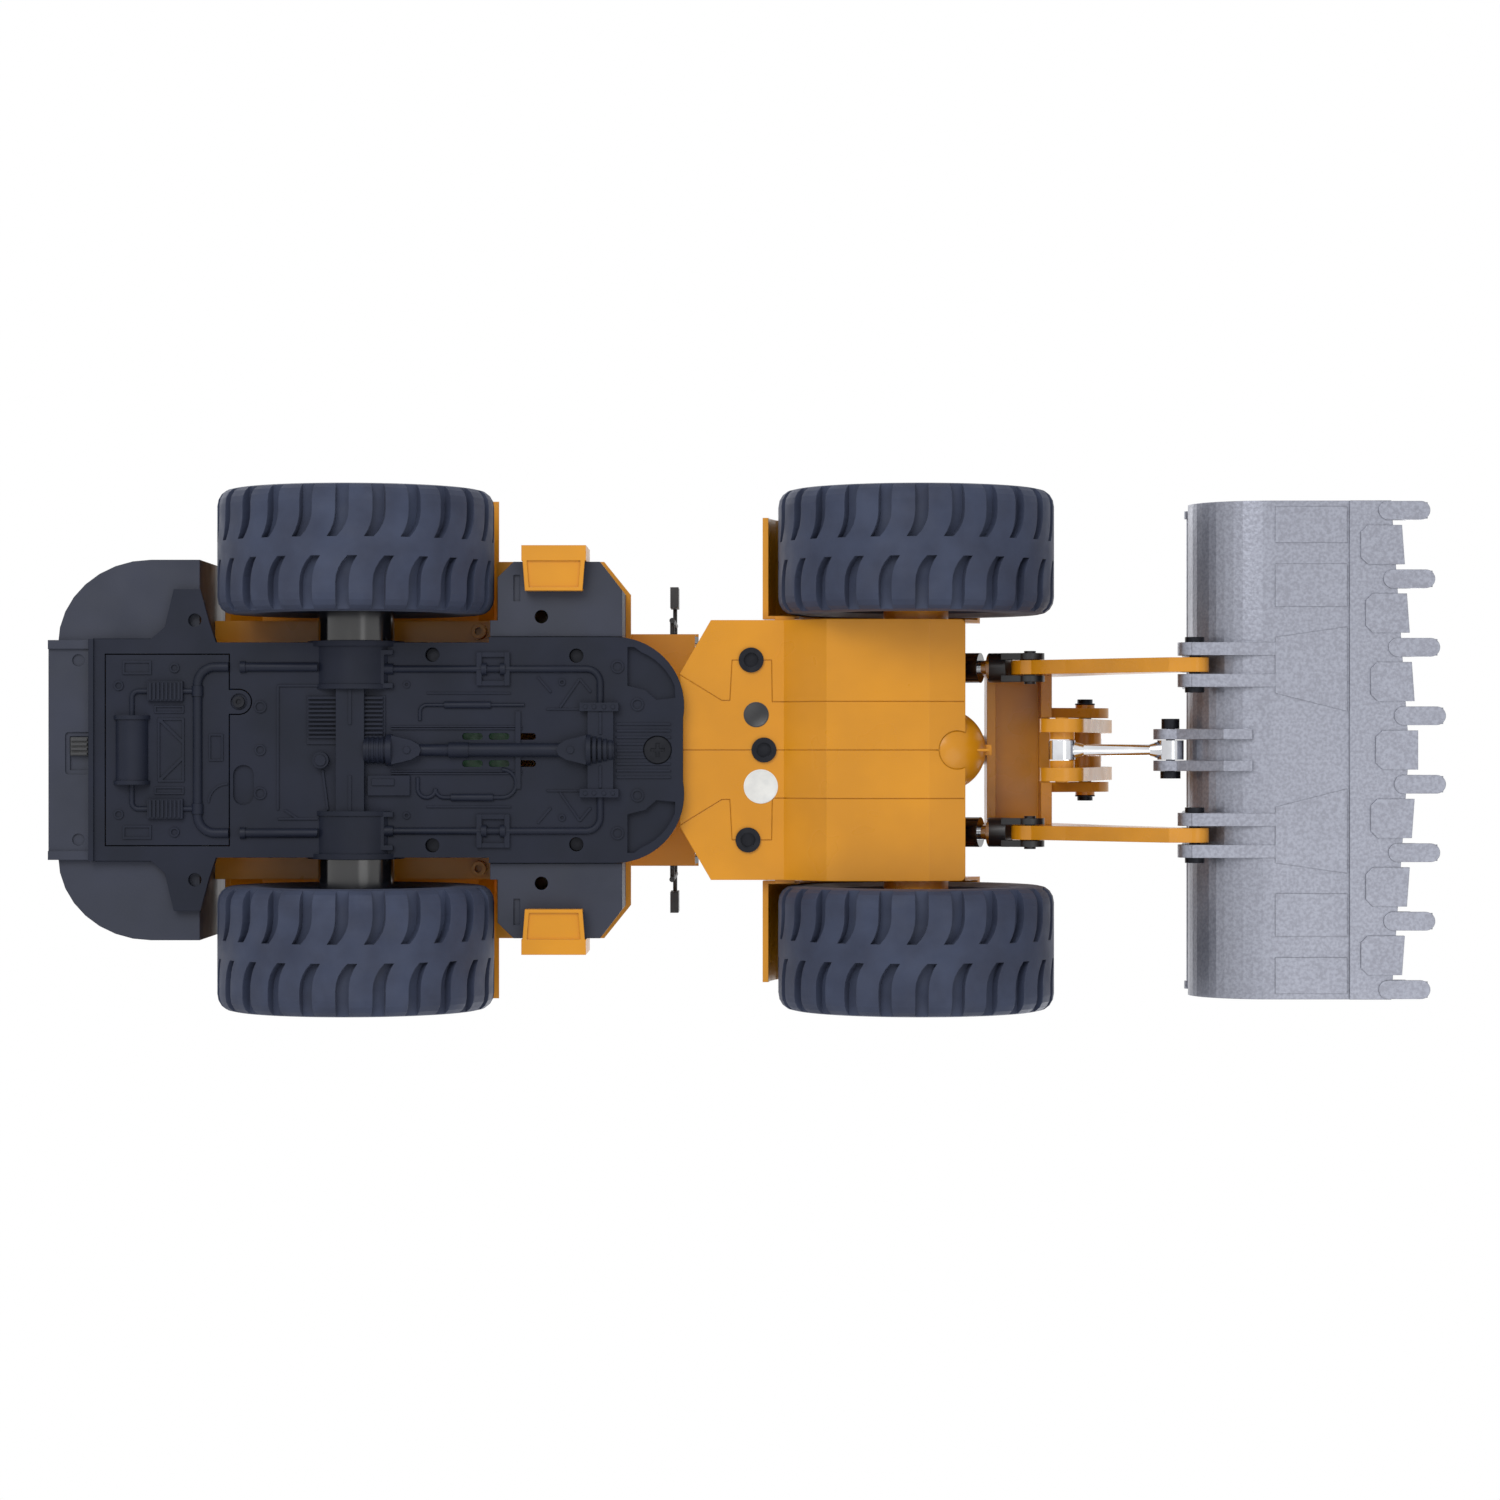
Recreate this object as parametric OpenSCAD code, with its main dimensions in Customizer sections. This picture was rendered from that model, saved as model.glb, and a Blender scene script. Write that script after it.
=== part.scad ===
// Ride-on-scale toy front loader with an articulated frame, a Z-bar linkage and a toothed bucket.
// Modules are drawn with x = 0 on the articulation hinge, x forward, y to the left and z up.

/* [Overall] */
// Distance between the front and rear axles
wheelbase = 254; // [240:1:280]
// Distance from the articulation hinge forward to the front axle
hinge_to_front_axle = 117; // [112:1:124]
// Distance from the rear axle back to the rear face of the counterweight
rear_overhang = 134; // [126:1:146]
// Height of the flat underside of the chassis tray
belly_z = 50; // [46:1:56]

/* [Wheels] */
// Outer diameter of a tyre
tyre_d = 125; // [118:1:128]
// Width of a tyre
tyre_w = 56; // [48:1:58]
// Distance between the middles of the left and right tyres
track = 179; // [176:1:190]
// Diameter of the seat between rim and tyre
rim_seat_d = 72; // [66:1:78]
// Number of lugs in each row of the tread
lug_count = 24; // [16:1:28]
// Width of the groove between two lugs
groove_w = 5.8; // [4:0.1:7]
// Depth of the tread grooves
groove_depth = 4.4; // [3:0.1:5]
// Half of the plain band left in the middle of the tread
tread_band = 4.2; // [3:0.1:8]
// Radius of the wheel spindles
spindle_r = 4; // [3:0.1:5]

/* [Rear frame] */
// Width of the tray behind the hinge
tray_w = 97; // [90:1:100]
// Thickness of the tray floor
tray_t = 2.6; // [2:0.1:3]
// Height of the tray with its side walls
tray_h = 16; // [14:1:18]
// Half width of the counterweight
counterweight_half_w = 86; // [80:1:90]
// Height of the counterweight's top
counterweight_top_z = 150; // [140:1:156]
// Width of the black side boxes, outside to outside
side_box_w = 170; // [160:1:176]
// Height of the deck that carries the cab
deck_z = 118; // [114:1:122]
// Width of the engine hood
hood_w = 100; // [90:1:108]
// Height of the hood where it meets the cab
hood_top_z = 200; // [190:1:208]
// Width of the cab
cab_w = 108; // [100:1:112]
// Distance of the windscreen ahead of the hinge
cab_front_x = 17; // [10:1:18]
// Distance of the cab's back wall behind the hinge
cab_rear_x = 104; // [96:1:110]
// Height of the cab roof
roof_z = 256; // [245:1:265]

/* [Front frame] */
// Width of the front frame's underside cover
cover_w = 117.6; // [112:0.1:119]
// Height of the flat part of the cover under the front axle
cover_low_z = 40; // [38:0.5:44]
// Height of the cover where it passes over the tray
cover_high_z = 57; // [56.8:0.1:58]
// Wall thickness of the cover
cover_t = 2.6; // [2:0.1:3]
// Distance between the outer faces of the two tower plates
tower_w = 60; // [56:1:60]
// Thickness of a tower plate
tower_t = 6; // [4:0.5:7]

/* [Loader linkage] */
// Arm pivot, ahead of the hinge
arm_pivot_x = 62; // [60:0.5:64]
// Arm pivot, height
arm_pivot_z = 146; // [142:0.5:150]
// Bucket pin, ahead of the front axle
bucket_pin_reach = 120.5; // [118:0.5:126]
// Bucket pin, height
bucket_pin_z = 10; // [9.5:0.5:12]
// Distance between the middles of the two lift arms
arm_spread = 75; // [74:0.5:76]
// Thickness of a lift arm
arm_t = 6.4; // [5:0.1:6.6]
// Radius of the arm pivot pin
arm_pin_r = 4; // [3:0.1:5]
// Radius of the bucket pins
bucket_pin_r = 2.5; // [2:0.1:3]
// Outside diameter of the lift cylinder barrels
lift_barrel_d = 13.7; // [12:0.1:14]
// Diameter of the chromed lift rods
lift_rod_d = 6.9; // [5:0.1:8]
// Outside diameter of the tilt cylinder barrel
tilt_barrel_d = 14; // [12:0.1:14.2]
// Diameter of the chromed tilt rod
tilt_rod_d = 6.4; // [5:0.1:7]
// Thickness of each bell crank plate
crank_t = 6.1; // [5:0.1:6.2]

/* [Bucket] */
// Width of the bucket
bucket_w = 218.8; // [205:1:222]
// Height of the bucket over its lip
bucket_h = 92; // [86:1:94]
// Thickness of the bucket walls
bucket_t = 3; // [2.4:0.1:3.4]
// Radius of the bucket's round back
bucket_back_r = 33.5; // [32:0.5:33.5]
// Distance from the bucket pin forward to the tips of the inner teeth
bucket_reach = 109; // [104:1:114]
// Distance between neighbouring teeth
tooth_pitch = 30; // [28:0.5:30.2]
// Width of a tooth
tooth_w = 8.2; // [7:0.1:9]
// Length of a tooth
tooth_l = 22.6; // [20:0.1:25]

/* [Clearances] */
// Radial clearance of a pin that turns in its bore
running = 0.05; // [0.02:0.01:0.1]
// Gap between parts that slide or turn past each other
side_gap = 0.4; // [0.3:0.05:0.6]
// Gap at seats between pieces of one assembly
seat_gap = 0.1; // [0.05:0.01:0.15]

/* [Hidden] */
$fn = 48;

// Places along x, measured from the hinge
front_axle_x = hinge_to_front_axle;
rear_axle_x = front_axle_x - wheelbase;
axle_z = tyre_d / 2;
counterweight_rear_x = rear_axle_x - rear_overhang;
bumper_stand = 4;
bumper_rear_x = counterweight_rear_x - bumper_stand;
tray_rear_x = counterweight_rear_x + 16;
tray_front_x = 12;
bucket_pin_x = front_axle_x + bucket_pin_reach;
tooth_tip_x = bucket_pin_x + bucket_reach;
hinge_x = -(tooth_tip_x + bumper_rear_x) / 2;

// Wheels
tyre_in_y = (track - tyre_w) / 2;
tyre_out_y = tyre_in_y + tyre_w;
rim_seat_r = rim_seat_d / 2;

// Rear frame levels
tray_top_z = belly_z + tray_h;
box_front_x = -16;
well_front_x = rear_axle_x + 61;
well_rear_x = rear_axle_x - 70;
tray_half = tray_w / 2;
cab_half = cab_w / 2;
hood_half = hood_w / 2;
deck_t = 4;
hinge_pin_r = 5;
hinge_lug_r = 12;
hinge_lug_t = 6;
tongue_top_z = belly_z + 4;
panel_t = 2;
battery_half = 34;

// Front frame
cover_half = cover_w / 2;
tower_half = tower_w / 2;
cover_front_x = front_axle_x + 21.5;
arm_half = arm_spread / 2;
arm_in_y = arm_half - arm_t / 2;
arm_out_y = arm_half + arm_t / 2;

// Linkage places, each [x, z]
A = [arm_pivot_x, arm_pivot_z];
B = [bucket_pin_x, bucket_pin_z];
C = [bucket_pin_x - 39, arm_pivot_z - 28];
D = [bucket_pin_x - 57, bucket_pin_z + 18];
E = [bucket_pin_x - 8.5, bucket_pin_z + 20];
F = [C[0] + 4.5, C[1] + 34];
K = [arm_pivot_x, arm_pivot_z - 42];
P = [bucket_pin_x - 68.5, arm_pivot_z - 80];
lift_pin_r = 2.5;
crank_pin_r = 3;
link_pin_r = 2;
crank_in_y = 7.85;
crank_out_y = crank_in_y + crank_t;
bracket_in_y = crank_out_y + 0.95;
bracket_t = 4.6;
link_half = 4.3;
centre_lug_in_y = link_half + side_gap;
centre_lug_t = 4.6;
side_lug_t = 5.7;
side_lug_y = arm_half;
side_lug_gap = arm_t / 2 + 0.9;
lift_len = norm(P - K);
lift_tilt = atan2(P[1] - K[1], P[0] - K[0]);
tilt_len = norm(F - A);
tilt_slope = atan2(F[1] - A[1], F[0] - A[0]);

// Bucket
bucket_half = bucket_w / 2;
floor_z = bucket_pin_z - 8.5;
back_c = [bucket_pin_x + bucket_back_r, floor_z + bucket_back_r + 1.5];
lip = [bucket_pin_x + 6.5, floor_z + bucket_h - 2];
nose_x = tooth_tip_x - 16;
edge_step_x = bucket_pin_x + 67;
edge_slope = 7.5 / 105;

// ---------- shared shapes ----------
module at_hinge() { translate([hinge_x, 0, 0]) children(); }

module both_sides() {
  children();
  mirror([0, 1, 0]) children();
}

module slab(x0, x1, y0, y1, z0, z1) {
  translate([x0, y0, z0]) cube([x1 - x0, y1 - y0, z1 - z0]);
}

module rod_x(x0, x1, y, z, d) {
  translate([x0, y, z]) rotate([0, 90, 0]) cylinder(d = d, h = x1 - x0);
}

module rod_y(y0, y1, x, z, d) {
  translate([x, y0, z]) rotate([-90, 0, 0]) cylinder(d = d, h = y1 - y0);
}

module rod_z(z0, z1, x, y, d) {
  translate([x, y, z0]) cylinder(d = d, h = z1 - z0);
}

// A plate drawn in the x-z plane and given its thickness along y
module plate_xz(y0, y1) {
  translate([0, y1, 0]) rotate([90, 0, 0]) linear_extrude(height = y1 - y0) children();
}

// A plate drawn in the x-y plane
module plate_xy(z0, z1) {
  translate([0, 0, z0]) linear_extrude(height = z1 - z0) children();
}

module at_point(p) { translate([p[0], p[1]]) children(); }

module round_rect(x0, x1, y0, y1, r) {
  translate([x0 + r, y0]) square([x1 - x0 - 2 * r, y1 - y0]);
  translate([x0, y0 + r]) square([x1 - x0, y1 - y0 - 2 * r]);
  for (x = [x0 + r, x1 - r], y = [y0 + r, y1 - r]) translate([x, y]) circle(r = r);
}

// Points of an ellipse arc from angle a0 to a1 about c
function arc_points(c, rx, ry, a0, a1, n) =
  [for (i = [0:n]) let (a = a0 + (a1 - a0) * i / n) [c[0] + rx * cos(a), c[1] + ry * sin(a)]];

// Straight bar of width w between two points of a plane
module bar_2d(p, q, w) {
  angle = atan2(q[1] - p[1], q[0] - p[0]);
  translate(p) rotate(angle) translate([0, -w / 2]) square([norm(q - p), w]);
}

// Quarter bend of a pipe lying in the x-y plane, about centre (x, y)
module pipe_bend(x, y, z, r, d, start) {
  translate([x, y, z]) rotate([0, 0, start]) rotate_extrude(angle = 90) translate([r, 0]) circle(d = d);
}

// ---------- wheels ----------
module tyre_profile() {
  half = tyre_w / 2;
  r = tyre_d / 2;
  shoulder = arc_points([r - 6.5, half - 7.5], 6.5, 7.5, 0, 90, 4);
  polygon(concat(
    [[rim_seat_r, -half + 4], [rim_seat_r, half - 4], [rim_seat_r + 2, half - 1.6], [rim_seat_r + 10, half]],
    [for (i = [4:-1:0]) shoulder[i]],
    [for (p = shoulder) [p[0], -p[1]]],
    [[rim_seat_r + 10, -half], [rim_seat_r + 2, -half + 1.6]]
  ));
}

// Outline of one tread groove: straight at the shoulder, then bent towards the middle
module groove_outline() {
  bend_start = 0.57 * tyre_w / 2;
  bend_angle = 42;
  bend_r = (bend_start - tread_band) / sin(bend_angle);
  steps = 4;
  edge_in = [for (i = [0:steps]) let (a = bend_angle * i / steps)
    [-bend_r + (bend_r - groove_w / 2) * cos(a), bend_start - bend_r * sin(a)]];
  edge_out = [for (i = [steps:-1:0]) let (a = bend_angle * i / steps)
    [-bend_r + (bend_r + groove_w / 2) * cos(a), bend_start - bend_r * sin(a)]];
  polygon(concat([[-groove_w / 2, tyre_w]], edge_in, edge_out, [[groove_w / 2, tyre_w]]));
}

module groove_row() {
  for (i = [0:lug_count - 1])
    rotate([0, 0, i * 360 / lug_count]) translate([tyre_d / 2 - groove_depth, 0, 0])
      rotate([0, 90, 0]) rotate([0, 0, 90]) linear_extrude(height = groove_depth * 2) groove_outline();
}

// A tyre standing at an axle; its own axis runs along y
module tyre(x, y) {
  translate([x, y, axle_z]) rotate([-90, 0, 0]) difference() {
    rotate_extrude() tyre_profile();
    groove_row();
    rotate([180, 0, 0]) groove_row();
  }
}

// Rim with an outer dish, hub and bolt circle; out = 1 for the left side and -1 for the right
module rim(x, y, out) {
  half = tyre_w / 2;
  barrel_t = 2;
  dish_y = 6;
  hub_r = 17;
  bolt_circle_r = 22.5;
  bolt_count = 8;
  translate([x, y, axle_z]) rotate([-90 * out, 0, 0]) difference() {
    union() {
      rotate_extrude() polygon([
        [rim_seat_r - seat_gap - barrel_t, -half + 5], [rim_seat_r - seat_gap, -half + 5],
        [rim_seat_r - seat_gap, half - 4], [rim_seat_r - seat_gap - barrel_t, half - 3],
        [rim_seat_r - 5, dish_y + 3], [hub_r + 9, dish_y], [hub_r + 1, dish_y + 3], [hub_r, dish_y + 12],
        [hub_r - 4, dish_y + 15], [spindle_r + running, dish_y + 15],
        [spindle_r + running, dish_y - 4], [hub_r, dish_y - 4], [rim_seat_r - seat_gap - barrel_t, dish_y - 2]
      ]);
      for (i = [0:bolt_count - 1])
        rotate([0, 0, i * 360 / bolt_count]) translate([bolt_circle_r, 0, dish_y - 1])
          cylinder(d = 4, h = 4.5, $fn = 24);
    }
  }
}

// ---------- rear frame ----------
module tray_outline() {
  nose_half = tray_half + 2.4;
  corner_r = 31;
  union() {
    translate([tray_rear_x, -tray_half - 1.5]) square([well_rear_x - tray_rear_x, tray_w + 3]);
    translate([well_rear_x, -tray_half]) square([well_front_x - well_rear_x, tray_w]);
    translate([well_front_x, -nose_half]) square([tray_front_x - corner_r - well_front_x, 2 * nose_half]);
    translate([tray_front_x - corner_r, -nose_half + corner_r])
      square([corner_r - 0.5, 2 * (nose_half - corner_r)]);
    for (side = [-1, 1]) translate([tray_front_x - corner_r, side * (nose_half - corner_r)]) circle(r = corner_r);
  }
}

// Ears that carry the counterweight's screws
module tray_ears() {
  ear_x0 = well_rear_x - 15;
  ear_y = tray_half + 24;
  both_sides() plate_xy(belly_z, belly_z + 5) difference() {
    polygon([[ear_x0 - 8, tray_half], [ear_x0, ear_y - 17], [ear_x0 + 4, ear_y], [ear_x0 + 16, ear_y],
      [ear_x0 + 20, tray_half + 9], [ear_x0 + 23, tray_half]]);
    translate([ear_x0 + 13.5, tray_half + 10]) circle(r = 3);
  }
}

axle_housing_r = 20;
axle_flange_r = 22;
housing_in_y = 28.3;
housing_out_y = tray_half - 1.5;
axle_beam_r = 8.9;

module axle_housings() {
  both_sides() {
    rod_y(housing_in_y, housing_out_y, rear_axle_x, axle_z, 2 * axle_housing_r);
    rod_y(housing_out_y - 0.2, housing_out_y + 2.2, rear_axle_x, axle_z, 2 * axle_flange_r);
    rod_y(housing_in_y - 0.8, housing_in_y + 1.4, rear_axle_x, axle_z, 2 * axle_housing_r + 1.4);
  }
  strap_half = 6.4;
  slab(rear_axle_x - 7.5, rear_axle_x + 5.2, -housing_in_y, housing_in_y, belly_z - 4.6, belly_z + 1);
  both_sides() slab(rear_axle_x - 1.9, rear_axle_x - 0.4, strap_half + 5, housing_in_y, belly_z - 5.2, belly_z - 4);
}

// Moulded copy of a prop shaft with its two joints and couplings
module shaft_relief() {
  z = belly_z - 1.4;
  back = rear_axle_x + 5;
  front = box_front_x - 3.5;
  rod_x(back, back + 10, 0, z, 11.5);
  for (i = [0:3]) rod_x(back + 1.4 + i * 2.2, back + 2.4 + i * 2.2, 0, z, 12.3);
  rod_x(back + 10, back + 12.5, 0, z, 14.4);
  rod_x(back + 24, front - 24, 0, z, 5.4);
  rod_x(back + 38, back + 47, 0, z, 7);
  rod_x(back + 47, front - 24, 0, z, 6.2);
  rod_x(front - 12.5, front - 10.4, 0, z, 14.4);
  for (i = [0:3]) rod_x(front - 9.6 + i * 2.4, front - 8 + i * 2.4, 0, z, 13 - i);
  rod_x(front - 10.4, front, 0, z, 9);
  yoke_pts = [[0, -6.6], [0, 6.6], [9, 4.4], [12.4, 2.4], [13.4, 0], [12.4, -2.4], [9, -4.4]];
  translate([back + 12.5, 0, 0]) plate_xy(z - 4.6, z + 2) polygon(yoke_pts);
  translate([front - 12.5, 0, 0]) mirror([1, 0, 0]) plate_xy(z - 4.6, z + 2) polygon(yoke_pts);
  for (x = [back + 19.5, front - 19.5]) rod_z(z - 5.3, z, x, 0, 3.2);
}

// Moulded hydraulic lines with clamps, bends and hoses
module line_relief() {
  z = belly_z - 0.5;
  line_y = 36.5;
  line_d = 3.2;
  pipe_y = 37.4;
  pipe_d = 4.2;
  bend_r = 6.3;
  cross_x = box_front_x - 9.8;
  clamp_x = box_front_x - 65.5;
  both_sides() {
    rod_x(well_rear_x + 19, rear_axle_x - axle_housing_r + 4, pipe_y, z, pipe_d);
    rod_x(well_rear_x + 19, well_rear_x + 21.5, pipe_y, z, pipe_d + 1);
    rod_x(rear_axle_x + axle_housing_r - 4, cross_x - bend_r, line_y, z, line_d);
    pipe_bend(cross_x - bend_r, line_y - bend_r, z, bend_r, line_d, 0);
    rod_y(19, line_y - bend_r, cross_x, z, line_d);
    rod_x(rear_axle_x + 13.6, rear_axle_x + 18, line_y, z, line_d + 1.8);
    slab(rear_axle_x + 12, rear_axle_x + 14, line_y - 8.6, line_y + 8.6, belly_z - 3, belly_z + 1);
    slab(rear_axle_x + 12, rear_axle_x + 18, line_y - 8.6, line_y - 6.4, belly_z - 3, belly_z + 1);
    slab(rear_axle_x + 12, rear_axle_x + 18, line_y + 6.4, line_y + 8.6, belly_z - 3, belly_z + 1);
    for (x = [clamp_x + 2.2, clamp_x + 10.6]) rod_x(x, x + 2.4, line_y, z, line_d + 2.4);
    for (x = [clamp_x, clamp_x + 12.6]) slab(x, x + 2.4, line_y - 7.5, line_y + 7.5, belly_z - 2, belly_z + 1);
    for (y = [line_y - 7.5, line_y + 5.4]) slab(clamp_x, clamp_x + 15, y, y + 2.1, belly_z - 1.6, belly_z + 1);
    for (y = [10.2, 9.2]) slab(rear_axle_x + 17, box_front_x - 45, y, y + 0.7, belly_z - 0.9, belly_z + 1);
  }
  hose_y = 20.3;
  hose_x = box_front_x - 88;
  translate([0, -hose_y, 0]) {
    rod_x(hose_x, hose_x + 44, 0, z, 1.7);
    rod_x(hose_x + 8, hose_x + 29, 0, z, 3.2);
    pipe_bend(hose_x, 3, z, 3, 1.7, 180);
    rod_y(3, 7, hose_x - 3, z, 1.7);
  }
  s_y = 21.4;
  s_x = box_front_x - 80;
  rod_x(s_x, s_x + 26, s_y, z, 1.9);
  rod_x(s_x + 3, s_x + 22, s_y, z, 3.4);
  pipe_bend(s_x + 26, s_y - 6.3, z, 6.3, 1.9, 0);
  pipe_bend(s_x + 26, s_y - 6.3, z, 6.3, 1.9, 270);
  pipe_bend(s_x, s_y - 4, z, 4, 1.9, 90);
  pipe_bend(s_x - 8, s_y - 4, z, 4, 1.9, 0);
  pipe_bend(s_x - 8, s_y - 4, z, 4, 1.9, 90);
  rod_y(s_y - 9, s_y - 4, s_x - 12, z, 1.9);
}

// Raised panels, straps, marks and ribs of the tray's underside
module panel_relief() {
  strap_x = box_front_x - 15.4;
  slab(strap_x, strap_x + 11.6, -17.5, 17.5, belly_z - 3.4, belly_z + 1);
  both_sides() {
    slab(strap_x - 3.6, strap_x + 14, 17.5, 21.3, belly_z - 4.4, belly_z + 1);
    slab(strap_x + 5.2, strap_x + 6.4, 7, 17, belly_z - 4, belly_z - 3);
    for (x = [strap_x - 1, strap_x + 3, strap_x + 7.4, strap_x + 11.4]) rod_z(belly_z - 5, belly_z - 3, x, 19.4, 1.8);
    mark_x = box_front_x - 3;
    for (p = [[mark_x + 1, 37.5], [mark_x + 10, 20.5]]) at_relief_ring(p[0], p[1], 5.8);
    for (p = [[rear_axle_x + 24, 29.5], [box_front_x - 27, 30.5]]) at_relief_ring(p[0], p[1], 3.2);
    at_relief_ring(well_rear_x + 28, 19.5, 5.6);
    truss_x = box_front_x - 38;
    plate_xy(belly_z - 0.7, belly_z + 1) {
      bar_2d([truss_x, 33], [truss_x + 6, 26], 1);
      bar_2d([truss_x + 10, 19], [truss_x + 19, 32], 1);
      bar_2d([truss_x + 19, 32], [truss_x + 24, 26], 1);
      bar_2d([truss_x + 4, 18.4], [truss_x + 25, 18.4], 0.8);
      bar_2d([truss_x - 50, 25.6], [truss_x - 12, 25.6], 0.8);
    }
  }
  at_relief_ring(well_rear_x + 28, 0, 5);
  for (i = [0:8]) slab(box_front_x - 2.5, 6, -12.2 + i * 3, -11.2 + i * 3, belly_z - 0.7, belly_z + 1);
  slab(box_front_x - 48, box_front_x - 45.6, -17.5, 17.5, belly_z - 1.2, belly_z + 1);
  sump_x0 = rear_axle_x - 21;
  slab(sump_x0, sump_x0 + 35.5, -24.5, -2.5, belly_z - 0.9, belly_z + 1);
  for (i = [0:9]) slab(sump_x0 + 0.8, sump_x0 + 34.5, -23.9 + i * 1.95, -22.9 + i * 1.95, belly_z - 2.6, belly_z + 1);
  rod_z(belly_z - 4.2, belly_z + 1, rear_axle_x - 14.5, 4.6, 7.4);
  rod_z(belly_z - 5.2, belly_z + 1, rear_axle_x - 14.5, 4.6, 5);
  rod_z(belly_z - 2, belly_z + 1, rear_axle_x - 11, 29.5, 4);
  plate_xy(belly_z - 1.2, belly_z + 1) bar_2d([rear_axle_x - 13.8, 9], [rear_axle_x - 11.5, 27], 1);
  frame_x = rear_axle_x - 34;
  plate_xy(belly_z - 0.8, belly_z + 1) {
    bar_2d([frame_x, -29], [frame_x, 27], 1);
    bar_2d([frame_x, -29], [frame_x + 18, -29], 1);
    bar_2d([frame_x, 31], [frame_x + 18, 31], 1);
    bar_2d([frame_x + 3, 27], [frame_x + 9, 31], 1);
  }
  block_x = rear_axle_x + 6.5;
  slab(block_x, block_x + 19, 11.5, 20.5, belly_z - 1.8, belly_z + 1);
  slab(block_x + 2, block_x + 12, 13, 16, belly_z - 2.6, belly_z + 1);
}

module at_relief_ring(x, y, d) {
  translate([x, y, belly_z - 0.8]) difference() {
    cylinder(d = d, h = 1.4);
    translate([0, 0, -1]) cylinder(d = d - 1.6, h = 1.8);
  }
}

screw_hole_r = 3.2;
tray_holes = [[rear_axle_x + 35.5, 43], [box_front_x - 20.6, 42.5]];

// Cuts in the tray: screw holes, slots, pockets, the battery opening and the hinge seat
module tray_cuts() {
  both_sides() {
    for (p = tray_holes) rod_z(belly_z - 5, belly_z + 20, p[0], p[1], 2 * screw_hole_r);
    for (i = [0:2])
      plate_xy(belly_z - 1, belly_z + 8) translate([box_front_x - 72 + i * 12, 0])
        round_rect(0, 9.2, 4.6, 7.6, 1.4);
    pocket_x = -13.5;
    plate_xy(belly_z - 1, belly_z + 3.2) polygon(concat(
      [[pocket_x, 29], [pocket_x, 46.4], [pocket_x + 3, 46.4]],
      arc_points([pocket_x - 4, 18.5], 27.2, 27.6, 68, 22, 6),
      [[pocket_x + 21.5, 23.4], [pocket_x + 13, 22.6], [pocket_x + 8, 27]]
    ));
  }
  cover_hole();
  rod_z(belly_z - 1, belly_z + 2, 0, 0, 13);
  rod_z(belly_z, tongue_top_z + 1, 0, 0, 2 * hinge_pin_r);
}

// The battery opening, its screw tab and its latch pocket
cover_x0 = rear_axle_x - 111.6;
cover_x1 = rear_axle_x - 56.2;
cover_half_w = 42.9;
latch_x = cover_x1 + 6.6;
latch_y = 15.8;
tab_x = cover_x1 + 4.6;
tab_y = -21.7;
tab_r = 5.4;

module cover_outline(grow) {
  translate([cover_x0 - grow, -cover_half_w - grow])
    square([cover_x1 - cover_x0 + 2 * grow, 2 * (cover_half_w + grow)]);
  translate([cover_x1 - 1, tab_y - tab_r - grow]) square([tab_x - cover_x1 + 1, 2 * (tab_r + grow)]);
  translate([tab_x, tab_y]) circle(r = tab_r + grow);
}

module cover_hole() {
  cover_gap = 0.5;
  plate_xy(belly_z - 1, belly_z + tray_t + 1) cover_outline(cover_gap);
  latch_l = 9.2;
  plate_xy(belly_z - 1, belly_z + 1.8)
    round_rect(latch_x - latch_l / 2, latch_x + latch_l / 2, latch_y - 9, latch_y + 9, latch_l / 2 - 0.1);
}

module tray_walls() {
  wall = 2.2;
  z0 = belly_z + 0.5;
  both_sides() {
    slab(tray_rear_x + 1, well_rear_x, tray_half + 1.5 - wall, tray_half + 1.5, z0, tray_top_z);
    slab(well_rear_x, rear_axle_x - axle_housing_r + 1, tray_half - wall, tray_half, z0, tray_top_z);
    slab(rear_axle_x + axle_housing_r - 1, well_front_x, tray_half - wall, tray_half, z0, tray_top_z);
    slab(well_front_x, box_front_x - 4, tray_half + 2.4 - wall, tray_half + 2.4, z0, tray_top_z);
  }
  slab(box_front_x - 4 - wall, box_front_x - 4, -tray_half, tray_half, z0, tray_top_z);
  slab(tray_rear_x + 1, tray_rear_x + 1 + wall, -tray_half, tray_half, z0, tray_top_z);
  slab(cover_x1 + 13.4, cover_x1 + 13.4 + wall, -tray_half, tray_half, z0, tray_top_z);
}

module chassis_tray() {
  color("#33364a") at_hinge() difference() {
    union() {
      plate_xy(belly_z, belly_z + tray_t) tray_outline();
      intersection() {
        plate_xy(belly_z, tongue_top_z) tray_outline();
        slab(box_front_x - 4, tray_front_x + 1, -60, 60, belly_z, tongue_top_z);
      }
      slab(tray_rear_x - 1.2, tray_rear_x + 1, -tray_half - 1.5, tray_half + 1.5, belly_z - 1.6, belly_z + tray_t);
      tray_walls();
      tray_ears();
      intersection() {
        axle_housings();
        slab(rear_axle_x - 30, rear_axle_x + 30, -tray_w, tray_w, 0, tray_top_z);
      }
      shaft_relief();
      line_relief();
      panel_relief();
      for (y = [-1, 1], p = tray_holes) rod_z(belly_z + 1, tray_top_z, p[0], y * p[1], 2 * screw_hole_r + 3);
    }
    tray_cuts();
    rod_y(-tray_w, tray_w, rear_axle_x, axle_z, 2 * (axle_beam_r + seat_gap));
    slab(rear_axle_x - axle_beam_r - 0.1, rear_axle_x + axle_beam_r + 0.1, -tray_w, tray_w, axle_z, tray_top_z + 1);
  }
}

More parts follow.
